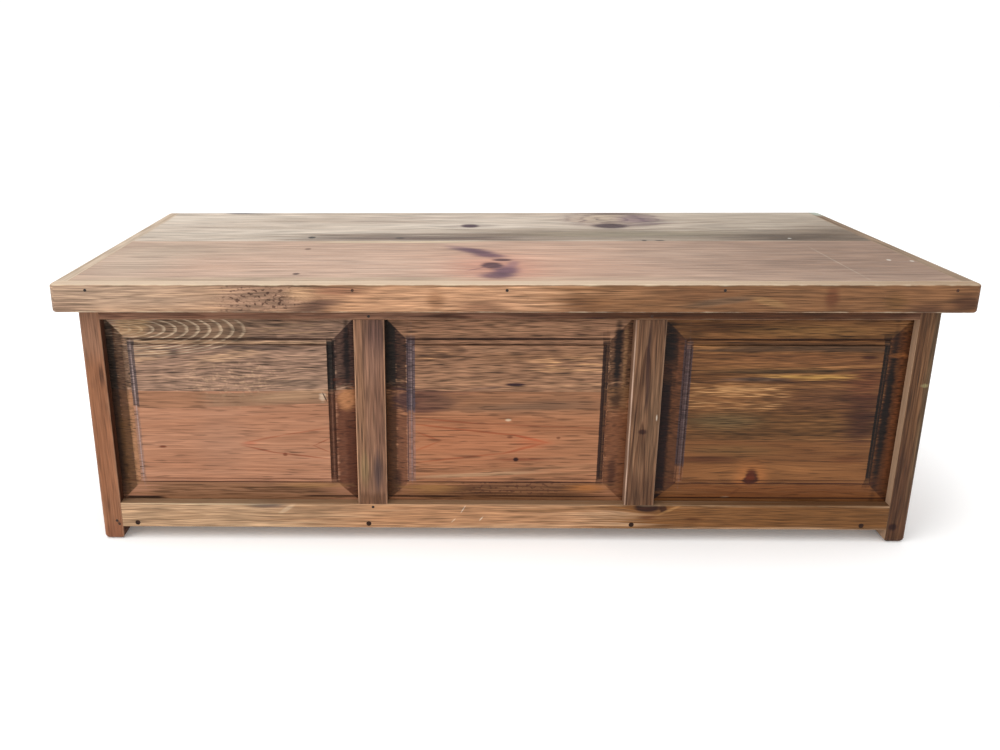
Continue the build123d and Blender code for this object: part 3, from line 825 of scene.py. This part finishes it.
            # pale lines along the two front arrises: painted highlights
            box(60, 348, -220.5, -218.6, (204, 156, 122), 0.7, 0.5, 0.8),
            box(60, 348, -177.6, -176, (172, 128, 98), 0.6, 0.5, 0.8),
        ),
        # painted shade on the right side face and painted light on the left one
        faces=((X, 1, (40, 28, 24), 0.8, None), (X, -1, (96, 66, 50), 0.6, None)),
        wear=0.25,
        wear_colour=(190, 150, 120),
    ),
    "front_right_muntin": dict(
        UPRIGHT,
        colours=((76, 54, 43), (110, 80, 61), (138, 106, 82)),
        heart=(-400.0, 196.0, 0.03),
        spacing=3.6,
        wander=2.0,
        ring=0.4,
        marks=(
            oval(290, 197, 50, 3, (60, 46, 44), 0.75, 0.7, 1.2),
            oval(236, 200, 22, 2.4, (60, 46, 44), 0.7, 0.7, 1.2),
            oval(178, 197, 4, 6, (52, 36, 34), 0.85, 0.4, 0.5),
            box(60, 110, 176, 222, (86, 61, 48), 0.6, 0.6, 0.8),
            oval(200, 212, 80, 8, (126, 98, 76), 0.5, 0.7, 0.8),
            # pale lines along the two front arrises: painted highlights
            box(62, 346, 177, 178.8, (196, 166, 148), 0.8, 0.5, 0.8),
            box(62, 346, 219.6, 221, (150, 116, 92), 0.5, 0.5, 0.8),
            oval(200, 216, 4, 1, (204, 188, 170), 0.8, 0.5, 0.5),
        ),
        # painted light on the left side face and painted shade on the right one
        faces=((X, -1, (140, 104, 80), 0.7, None), (X, 1, (40, 28, 24), 0.8, None)),
        wear=0.25,
        wear_colour=(180, 146, 120),
    ),
    "front_top_rail": dict(
        LEVEL,
        colours=((72, 50, 40), (104, 75, 61), (131, 98, 79)),
        heart=(-800.0, 350.0, 0.04),
        spacing=5.0,
        wander=2.0,
        lit=0.85,
        marks=(
            # the darker right part: the wood's own tone with painted shade of the right-hand side
            box(60, 620, 340, 386, (70, 47, 35), 0.85, 0.6, 0.5),
            oval(-92, 352, 24, 4, (58, 40, 34), 0.85, 0.7, 1.2),
            oval(-65, 350, 14, 2.4, (58, 40, 34), 0.75, 0.7, 1.2),
            oval(118, 348, 14, 2.4, (50, 34, 28), 0.7, 0.7, 0.8),
            box(-580, 580, 346, 347.6, (96, 60, 44), 0.5, 0.5, 0.8),
        ),
        wear=0.15,
    ),
    "front_bottom_rail": dict(
        LEVEL,
        colours=((146, 115, 88), (190, 155, 122), (216, 182, 148)),
        heart=(-900.0, 40.0, 0.04),
        fibre=0.42,
        streak=0.42,
        spacing=6.0,
        wander=3.0,
        knots=((214, 58, 45, 16, 10),),
        marks=(
            box(-260, 170, 20, 62, (174, 125, 90), 0.8, 0.6, 0.6),
            oval(-300, 46, 60, 12, (152, 118, 90), 0.6, 0.8, 0.8),
            oval(-358, 58, 26, 4, (92, 78, 74), 0.8, 0.7, 0.8),
            line(-340, 44, -318, 58, 6, (198, 170, 140), 0.6),
            box(-430, -280, 40, 46, (150, 118, 90), 0.4, 0.8, 1.0),
            # the darker right part: the wood's own tone with painted shade of the right-hand side
            box(150, 660, 20, 62, (119, 78, 45), 0.92, 0.35, 0.6),
            oval(60, 52, 70, 4, (132, 96, 66), 0.5, 0.8, 1.0),
            oval(212, 57, 17, 8, (48, 31, 28), 0.92, 0.3, 0.4),
            oval(236, 54, 5, 7, (60, 40, 32), 0.85, 0.4, 0.4, 30),
            line(228, 44, 262, 60, 4, (166, 122, 78), 0.7),
            oval(212, 40, 14, 3, (92, 52, 36), 0.7, 0.7, 0.8),
            oval(282, 38, 12, 2.4, (84, 52, 36), 0.7, 0.7, 0.8),
            line(-66, 47, -60, 57, 1.6, (226, 206, 184), 0.8),
            line(-38, 34, -33, 40, 1.8, (226, 206, 184), 0.8),
            line(-80, 31, -74, 37, 1.6, (216, 190, 164), 0.7),
            box(-580, -380, 58.4, 60.5, (204, 182, 150), 0.6, 0.5, 1.0),
            box(420, 575, 20, 64, (104, 72, 46), 0.5, 0.7, 0.6),
        ),
        faces=((Z, 1, (146, 116, 90), 0.8, ((104, 76, 56), 150, 420)),),
        wear=0.2,
    ),
}

# Heights of the glue lines in the front panels
GLUE_HIGH, GLUE_LOW = 237.5, 163.0

PANEL = {
    "axes": ALONG_X_FRONT,
    "surface": -0.2755,
    "skin": (-0.258, -0.262),
    "wear": 0.0,
    "end": 0.0,
    "lit": 1.22,
}
# The calmer lower boards of the front panels
SMOOTH = {
    "thread_scale": (18.0, 640.0),
    "wander": 1.5,
    "ripple": 0.1,
    "ring": 0.08,
    "spacing": 26.0,
    "thread": 1.0,
    "shade": 0.2,
    "fibre": 0.25,
    "streak": 0.22,
    "tone": 0.4,
}

LOOKS["front_left_panel"] = dict(
    PANEL,
    colours=((92, 72, 60), (152, 121, 102), (200, 160, 128)),
    thread=2.5,
    thread_scale=(44.0, 740.0),
    fibre=0.36,
    shade=0.28,
    pores=0.4,
    heart=(-650.0, 326.0, 0.12),
    spacing=5.0,
    ripple=3.0,
    knots=((-400, 262, 60, 40, 8), (-300, 285, 40, 20, -4)),
    boards=(
        (
            GLUE_HIGH,
            dict(
                SMOOTH,
                seed=31.0,
                colours=((139, 90, 67), (174, 124, 96), (194, 145, 118)),
                heart=(-60.0, 156.0, 0.07),
            ),
        ),
    ),
    marks=(
        # the upper board
        oval(-400, 252, 60, 26, (120, 98, 84), 0.5, 0.8, 0.8, figure="speck"),
        oval(-395, 250, 70, 30, (196, 160, 128), 0.45, 0.8, 0.8, figure="speck", count=9.0),
        oval(-482, 302, 9, 9, (88, 68, 68), 0.75, 0.6, 0.8),
        oval(-380, 303, 46, 5, (100, 82, 74), 0.75, 0.7, 0.8),
        oval(-300, 250, 50, 6, (106, 88, 76), 0.6, 0.7, 0.8),
        box(-450, -350, 284, 300, (196, 158, 122), 0.5, 0.6, 0.8, 12, "comb"),
        box(-545, -480, 285, 308, (196, 158, 122), 0.6, 0.6, 0.8, 16, "comb"),
        # chevrons where the upper bevel cuts the heartwood
        box(-535, -372, 313, 347, (124, 100, 80), 0.75, 0.2, 0.3),
        oval(-572, 328, 198, 40, (200, 176, 148), 0.78, 0.05, 0.0, figure="rings", count=12.0),
        box(-560, -520, 318, 346, (180, 146, 108), 0.6, 0.4, 0.6),
        box(-365, -260, 318, 340, (150, 122, 92), 0.6, 0.5, 0.8, figure="comb"),
        oval(-310, 342, 50, 4, (84, 58, 46), 0.6, 0.7, 0.8),
        box(-540, -260, 308.5, 313, (188, 152, 118), 0.55, 0.4, 0.8),
        # the stain over the glue line
        box(-541, -440, 211, 237, (150, 108, 82), 0.7, 0.12, 0.2),
        box(-440, -258, 216, 237, (132, 106, 84), 0.65, 0.15, 0.3, 2),
        oval(-310, 231, 60, 7, (174, 138, 108), 0.7, 0.6, 0.6, 5),
        # the lower board
        oval(-420, 162, 32, 44, (162, 122, 100), 0.4, 0.9, 0.3),
        line(-388, 152, -340, 141, 2.6, (136, 70, 50), 0.62),
        line(-345, 142, -258, 131, 2.0, (136, 70, 50), 0.66),
        line(-386, 157, -330, 169, 2.4, (146, 80, 58), 0.5),
        line(-330, 169, -260, 181, 2.0, (146, 80, 58), 0.5),
        line(-283, 153, -260, 164, 2.0, (138, 72, 52), 0.6),
        line(-283, 152, -260, 142, 2.0, (138, 72, 52), 0.55),
        oval(-378, 156, 12, 3, (168, 84, 62), 0.45, 0.7, 0.8),
        oval(-508, 150.5, 5, 1.8, (104, 48, 34), 0.8, 0.5, 0.5),
        oval(-327, 138.5, 3, 2.4, (110, 58, 42), 0.75, 0.5, 0.4),
        oval(-268, 230, 4, 7, (212, 184, 158), 0.75, 0.6, 1.6),
        line(-268, 236, -262, 222, 2.0, (60, 40, 34), 0.85),
        # bevels and steps: painted shadow of the post on the left bevel, painted shade on the right
        # bevel and the right-hand step, painted highlights, some bluish, along the left-hand step,
        # with some stain and figure
        bevel(-582, -566, 50, 350, (34, 27, 24), 0.92, 0.3, 0.3),
        bevel(-568, -553, 50, 350, (74, 53, 41), 0.85, 0.25, 0.5),
        bevel(-555, -546, 66, 236, (166, 122, 88), 0.7, 0.2, 0.5),
        bevel(-555, -546, 236, 322, (118, 92, 74), 0.7, 0.2, 0.5),
        bevel(-572, -556, 66, 205, (104, 74, 48), 0.5, 0.5, 0.6),
        box(-546.5, -536.5, 212, 313, (84, 73, 74), 0.85, 0.08, 0.12),
        box(-546.5, -537.5, 94, 212, (148, 114, 98), 0.7, 0.1, 0.2),
        box(-543.4, -541.4, 96, 300, (176, 152, 146), 0.6, 0.3, 0.5),
        box(-260, -249, 237, 314, (34, 28, 30), 0.95, 0.1, 0.12),
        box(-260, -250, 92, 237, (72, 45, 36), 0.9, 0.1, 0.12),
        box(-255.6, -254.2, 92, 237, (132, 94, 76), 0.6, 0.4, 0.6),
        bevel(-250, -214, 240, 350, (60, 43, 41), 0.88, 0.2, 0.5),
        oval(-232, 290, 4, 56, (38, 29, 30), 0.85, 0.6, 1.0),
        oval(-243, 280, 4, 40, (104, 80, 68), 0.5, 0.7, 1.0),
        bevel(-250, -214, 60, 238, (93, 55, 42), 0.85, 0.2, 0.5),
        oval(-234, 223, 12, 16, (192, 134, 92), 0.85, 0.5, 0.9),
        bevel(-236, -214, 60, 190, (92, 56, 43), 0.7, 0.3, 0.5),
        box(-545, -250, 60, 89, (138, 102, 74), 0.6, 0.2, 0.8),
        box(-540, -230, 66, 89, (86, 61, 45), 0.8, 0.3, 0.8, 0, "comb"),
        oval(-285, 85, 40, 4, (176, 130, 86), 0.6, 0.8, 0.6),
        # painted shade in the crease where the bevel meets the bottom rail
        box(-579, -515, 61, 66, (30, 25, 24), 0.9, 0.3, 0.6),
        box(-300, -222, 65, 68, (40, 30, 30), 0.85, 0.4, 0.8),
        # dark lines along the steps: dirt in the upper creases and painted shade under the lower
        # steps
        box(-547, -252, 314.4, 316, (56, 38, 32), 0.85, 0.4, 0.4),
        box(-320, -262, 307, 308.4, (92, 66, 52), 0.7, 0.5, 0.8),
        box(-547, -252, 90.4, 93.4, (74, 44, 34), 0.9, 0.3, 0.4),
        box(-540, -259, 97.6, 100, (96, 54, 40), 0.75, 0.4, 0.5),
    ),
)

LOOKS["front_middle_panel"] = dict(
    PANEL,
    seed=4.0,
    colours=((91, 66, 52), (147, 109, 85), (197, 151, 115)),
    thread=2.5,
    thread_scale=(40.0, 740.0),
    fibre=0.36,
    shade=0.28,
    pores=0.4,
    heart=(-900.0, 300.0, 0.05),
    spacing=7.0,
    tone=0.5,
    boards=(
        (
            GLUE_HIGH,
            dict(
                SMOOTH,
                seed=33.0,
                colours=((120, 76, 53), (162, 112, 82), (184, 136, 104)),
                heart=(-420.0, 158.0, 0.07),
            ),
        ),
    ),
    marks=(
        box(-40, 136, 284, 300, (126, 92, 68), 0.5, 0.6, 1.0, 4),
        oval(-112, 292, 26, 8, (204, 154, 108), 0.6, 0.7, 1.0, figure="comb"),
        box(40, 136, 268, 290, (204, 156, 110), 0.7, 0.6, 1.0, 4, "comb"),
        oval(20, 262, 80, 16, (132, 98, 76), 0.5, 0.8, 0.8),
        oval(11, 248.5, 15, 2.4, (58, 42, 48), 0.95, 0.3, 0.3),
        line(-55, 241, -6, 245, 4, (116, 90, 80), 0.5),
        box(-180, 136, 236.8, 238, (92, 62, 50), 0.6, 0.4, 0.4),
        oval(-118, 220, 38, 19, (96, 66, 60), 0.75, 0.35, 1.4),
        box(-134, -78, 204, 238, (70, 47, 44), 0.8, 0.3, 1.0, 0, "comb"),
        box(-134, -50, 228, 237, (96, 66, 60), 0.75, 0.4, 0.8, 0, "comb"),
        box(-100, 130, 203, 236, (128, 96, 74), 0.45, 0.4, 0.8, 1),
        oval(30, 214, 90, 7, (112, 88, 72), 0.6, 0.7, 1.0, 3),
        oval(2, 194, 4, 1.8, (206, 188, 160), 0.85, 0.5, 0.6),
        oval(-50, 160, 100, 34, (178, 114, 82), 0.5, 0.8, 0.3),
        line(-134, 197, -40, 188, 2.4, (138, 74, 52), 0.6),
        line(-40, 188, 134, 181, 2.2, (134, 80, 58), 0.55),
        line(-134, 187, -60, 178, 2.8, (142, 74, 50), 0.58),
        line(-64, 178.5, 12, 170, 2.8, (142, 74, 50), 0.62),
        line(8, 171, 58, 159, 4.0, (154, 74, 50), 0.66),
        line(56, 158, -4, 141, 3.4, (148, 74, 50), 0.6),
        line(0, 142, -134, 126, 2.8, (142, 74, 50), 0.55),
        oval(38, 158, 24, 6, (186, 106, 74), 0.5, 0.8, 0.6),
        line(-134, 176, -98, 161, 2.8, (152, 80, 54), 0.5),
        line(-98, 160, -134, 145, 2.8, (152, 80, 54), 0.45),
        oval(24, 131.5, 36, 2.4, (112, 62, 46), 0.7, 0.7, 0.8),
        oval(14.5, 131.5, 3.8, 3.2, (50, 22, 20), 0.95, 0.4, 0.3),
        oval(5, 167, 4, 1.8, (108, 60, 46), 0.75, 0.5, 0.5),
        oval(76, 166, 3, 2.0, (96, 60, 46), 0.75, 0.5, 0.5),
        line(-134, 102, 40, 111, 6, (178, 146, 114), 0.55),
        line(-60, 112, 135, 122, 4, (120, 88, 64), 0.5),
        line(20, 103, 135, 112, 5, (112, 82, 60), 0.5),
        # bevels and steps: painted shadow of the left muntin on the left bevel, painted shade on
        # the right bevel and the right-hand step, painted highlights, some bluish, along the
        # left-hand step, with some stain and figure
        bevel(-182, -160, 238, 352, (32, 27, 27), 0.95, 0.15, 0.4),
        bevel(-162, -146, 238, 352, (57, 41, 38), 0.88, 0.15, 0.6),
        bevel(-182, -160, 54, 240, (74, 50, 38), 0.9, 0.2, 0.5),
        bevel(-161, -146, 54, 208, (106, 69, 54), 0.78, 0.2, 0.6),
        oval(-150, 222, 15, 16, (78, 57, 56), 0.8, 0.5, 1.2),
        oval(-160, 92, 5, 16, (52, 38, 34), 0.7, 0.7, 0.8),
        box(-146, -133.5, 205, 318, (84, 74, 80), 0.85, 0.08, 0.12),
        box(-146, -133.5, 94, 205, (140, 106, 96), 0.7, 0.1, 0.2),
        box(-140, -138, 96, 310, (142, 122, 120), 0.55, 0.3, 0.6),
        box(-145, -143.5, 96, 310, (62, 46, 48), 0.6, 0.3, 0.6),
        box(134.5, 144, 93, 316, (44, 31, 27), 0.93, 0.1, 0.15),
        box(140, 141.6, 95, 310, (104, 74, 54), 0.55, 0.4, 0.6),
        bevel(144, 182, 236, 352, (86, 62, 49), 0.85, 0.2, 0.6),
        oval(157, 290, 5.5, 54, (38, 29, 29), 0.9, 0.5, 0.9),
        oval(168, 280, 3, 50, (150, 112, 80), 0.6, 0.6, 1.4),
        box(146, 177, 204, 240, (124, 90, 64), 0.8, 0.2, 0.9),
        oval(158, 222, 8, 13, (52, 39, 35), 0.75, 0.6, 1.2),
        bevel(144, 182, 54, 206, (112, 72, 52), 0.8, 0.2, 0.6),
        oval(158, 108, 6, 24, (64, 43, 38), 0.7, 0.7, 1.0),
        box(-150, 150, 60, 90, (122, 87, 62), 0.65, 0.2, 0.8),
        box(-150, 150, 66, 90, (74, 51, 40), 0.7, 0.3, 0.8, 0, "comb"),
        oval(-110, 82, 36, 8, (170, 124, 78), 0.6, 0.8, 0.8),
        box(-60, 80, 70, 92, (86, 58, 48), 0.75, 0.5, 0.8, 0, "speck"),
        oval(122, 82, 26, 6, (184, 120, 70), 0.7, 0.8, 0.7),
        # painted shade in the crease where the bevel meets the bottom rail
        box(-177, -60, 65, 68, (40, 31, 30), 0.85, 0.4, 0.6),
        box(-60, 177, 66, 68.5, (48, 36, 34), 0.8, 0.4, 0.8),
        # dark lines along the steps: dirt in the upper creases and painted shade under the lower
        # steps
        box(-147, 146, 314.4, 317, (46, 32, 27), 0.88, 0.4, 0.8),
        box(-140, 138, 307, 308.6, (84, 60, 48), 0.7, 0.5, 0.9),
        box(-147, 146, 91.4, 94.4, (58, 37, 30), 0.9, 0.3, 0.6),
        box(0, 138, 97.8, 100.6, (68, 43, 35), 0.8, 0.4, 0.7),
    ),
)

LOOKS["front_right_panel"] = dict(
    PANEL,
    seed=7.0,
    # darker than the other panels: the wood's own tone with painted shade of the right-hand side
    colours=((60, 42, 31), (108, 74, 50), (164, 116, 75)),
    thread=2.2,
    thread_scale=(36.0, 700.0),
    fibre=0.4,
    shade=0.32,
    pores=0.35,
    heart=(-700.0, 330.0, 0.05),
    spacing=6.0,
    streak=1.0,
    knots=((363, 104, 50, 24, 14),),
    boards=(
        (
            GLUE_LOW,
            dict(
                SMOOTH,
                seed=35.0,
                colours=((84, 54, 38), (122, 82, 54), (148, 104, 68)),
                heart=(900.0, 100.0, 0.06),
                spacing=14.0,
            ),
        ),
    ),
    marks=(
        oval(330, 331, 80, 4, (62, 44, 35), 0.6, 0.7, 1.4),
        oval(440, 327, 90, 8, (132, 98, 62), 0.6, 0.8, 0.8),
        box(262, 534, 299, 309, (76, 62, 52), 0.65, 0.4, 1.0),
        oval(420, 285, 120, 10, (130, 88, 60), 0.6, 0.8, 0.8),
        oval(390, 270, 110, 4, (68, 57, 44), 0.75, 0.7, 1.0),
        box(362, 505, 256, 265, (188, 146, 84), 0.7, 0.5, 1.0, 0, "comb"),
        oval(445, 261, 40, 3, (186, 142, 80), 0.6, 0.7, 1.0),
        oval(355, 257, 40, 3, (88, 74, 68), 0.7, 0.6, 0.8),
        box(260, 400, 251.6, 254, (60, 43, 37), 0.7, 0.4, 0.8),
        oval(320, 228, 66, 22, (152, 106, 70), 0.55, 0.7, 1.0),
        box(262, 400, 212, 250, (190, 144, 98), 0.6, 0.2, 1.0, 0, "comb"),
        box(410, 534, 212, 250, (106, 73, 54), 0.6, 0.7, 0.8),
        oval(512, 252, 28, 22, (96, 58, 46), 0.7, 0.8, 0.8),
        oval(511, 290, 10, 2, (56, 34, 30), 0.8, 0.6, 0.8),
        oval(400, 184, 180, 22, (94, 68, 46), 0.55, 0.5, 0.9),
        oval(316, 192, 46, 12, (108, 90, 64), 0.6, 0.8, 0.6),
        oval(514, 190, 26, 34, (64, 43, 40), 0.8, 0.8, 0.8),
        oval(430, 148, 110, 9, (114, 76, 50), 0.5, 0.8, 0.8),
        oval(330, 147, 60, 8, (118, 88, 58), 0.6, 0.8, 0.8),
        oval(292, 133, 34, 5, (84, 52, 40), 0.7, 0.8, 0.8),
        oval(500, 133, 24, 5, (90, 55, 40), 0.6, 0.8, 0.8),
        box(262, 534, 100, 124, (146, 98, 62), 0.6, 0.5, 0.8),
        oval(363, 104, 22, 22, (172, 110, 66), 0.7, 0.6, 0.6),
        oval(363, 103, 11, 14, (58, 31, 27), 0.9, 0.3, 0.9),
        oval(362, 105, 7, 9, (98, 50, 37), 0.85, 0.4, 0.6),
        line(352, 84, 332, 67, 5, (56, 34, 28), 0.85),
        oval(420, 70, 9, 1.6, (38, 24, 20), 0.9, 0.4, 0.6),
        line(324, 67, 336, 68, 2.4, (206, 180, 152), 0.8),
        box(262, 560, 66, 89, (136, 86, 54), 0.7, 0.3, 0.8),
        box(262, 560, 66, 89, (94, 57, 38), 0.6, 0.4, 0.8, 0, "comb"),
        # bevels and steps: painted shadow of the right muntin on the left bevel, painted shade on
        # the right bevel and the right-hand step, painted highlights, some bluish, along the
        # left-hand step, with some stain and figure
        bevel(216, 253, 54, 352, (56, 40, 33), 0.88, 0.15, 0.4),
        bevel(222, 236, 54, 250, (44, 32, 27), 0.85, 0.3, 0.6),
        oval(231, 300, 8, 40, (38, 28, 27), 0.8, 0.6, 0.8),
        oval(231, 268, 11, 12, (92, 62, 46), 0.7, 0.6, 0.6),
        oval(231, 268, 7, 8, (54, 38, 32), 0.8, 0.5, 0.6),
        bevel(238, 253, 66, 250, (100, 66, 48), 0.75, 0.3, 0.7),
        bevel(243, 253, 250, 312, (112, 72, 52), 0.6, 0.4, 0.9),
        box(250.5, 261.8, 120, 312, (76, 64, 66), 0.85, 0.08, 0.12),
        box(250.5, 261.8, 94, 120, (128, 88, 66), 0.7, 0.1, 0.2),
        box(257, 258.6, 100, 308, (118, 100, 98), 0.5, 0.3, 0.9),
        box(531, 541.5, 93, 316, (30, 22, 21), 0.93, 0.1, 0.15),
        box(536, 537.4, 96, 300, (84, 58, 45), 0.5, 0.4, 0.6),
        bevel(541, 576, 54, 352, (80, 52, 40), 0.85, 0.15, 0.4),
        oval(549, 210, 6, 120, (33, 25, 24), 0.9, 0.5, 0.8),
        oval(563, 200, 4, 120, (112, 70, 49), 0.65, 0.6, 1.4),
        oval(556, 291, 12, 3, (146, 94, 58), 0.6, 0.6, 1.0),
        # painted shade in the crease where the bevel meets the bottom rail
        box(221, 571, 65, 67.5, (44, 34, 31), 0.8, 0.4, 0.8),
        # dark lines along the steps: dirt in the upper creases and painted shade under the lower
        # steps
        box(253, 541, 314.4, 316, (48, 33, 27), 0.85, 0.4, 0.7),
        box(253, 541, 307, 308.4, (70, 50, 40), 0.5, 0.5, 0.9),
        box(253, 541, 90.8, 93.6, (60, 34, 27), 0.9, 0.3, 0.5),
        box(261, 533, 97.6, 99.8, (84, 49, 36), 0.75, 0.4, 0.7),
    ),
)


def dress(name, **changes):
    """Gives a wooden node its own material."""
    look = dict(PLAIN, box=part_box(name))
    look.update(changes)
    piece = nodes[name]
    piece.data.materials.clear()
    piece.data.materials.append(wood(name + "_wood", look))
    for polygon in piece.data.polygons:
        polygon.material_index = 0


FLOOR_HALF_SIZE = 14
FLOOR_CLOUDS = (1.5, 1.5, 1.5)
FLOOR_STOPS = ((0.3, (0.94, 0.94, 0.94, 1)), (0.7, (0.97, 0.97, 0.97, 1)))
FLOOR_ROUGHNESS = 0.95
FLOOR_BUMP = 0.1
FLOOR_GLOW = 0.1  # keeps the floor as white as the photograph's paper


def make_floor():
    net = Net(bpy.data.materials.new("studio_floor"))
    cloud = net.noise(net.point, FLOOR_CLOUDS, 3)
    colour = net.ramp(cloud + 0.5, FLOOR_STOPS)
    material = net.finish(
        colour, FLOOR_ROUGHNESS, cloud, FLOOR_BUMP * MM, specular=0.0, glow=FLOOR_GLOW
    )
    shape = bmesh.new()
    bmesh.ops.create_grid(shape, x_segments=8, y_segments=8, size=FLOOR_HALF_SIZE)
    mesh = bpy.data.meshes.new("studio_floor")
    shape.to_mesh(mesh)
    shape.free()
    mesh.materials.append(material)
    floor = bpy.data.objects.new("studio_floor", mesh)
    scene.collection.objects.link(floor)


make_camera()
make_studio()
make_floor()

FIRST_SEED, NEXT_SEED = 1.0, 1.7
HEART_SLOPE = 0.06

for position, name in enumerate(sorted(nodes)):
    low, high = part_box(name)
    size = high - low
    if "hinge" in name or "nails" in name or "screws" in name:
        rust = NAIL_RUST if "nails" in name else HINGE_RUST
        nodes[name].data.materials.clear()
        nodes[name].data.materials.append(iron(name + "_iron", rust))
        continue
    longest = max(range(3), key=lambda axis: size[axis])
    thinnest = min(range(3), key=lambda axis: size[axis])
    other = 3 - longest - thinnest if longest != thinnest else 1
    plain = {
        "axes": (longest, other, thinnest),
        "seed": FIRST_SEED + position * NEXT_SEED,
        "heart": (low[longest] / MM, low[other] / MM, HEART_SLOPE),
        "surface": low[thinnest],
    }
    if name.startswith("floor") or "batten" in name:
        plain.update(INNER)
    elif name.startswith("back"):
        plain.update(BACK)
    dress(name, **dict(plain, **LOOKS.get(name, {})))
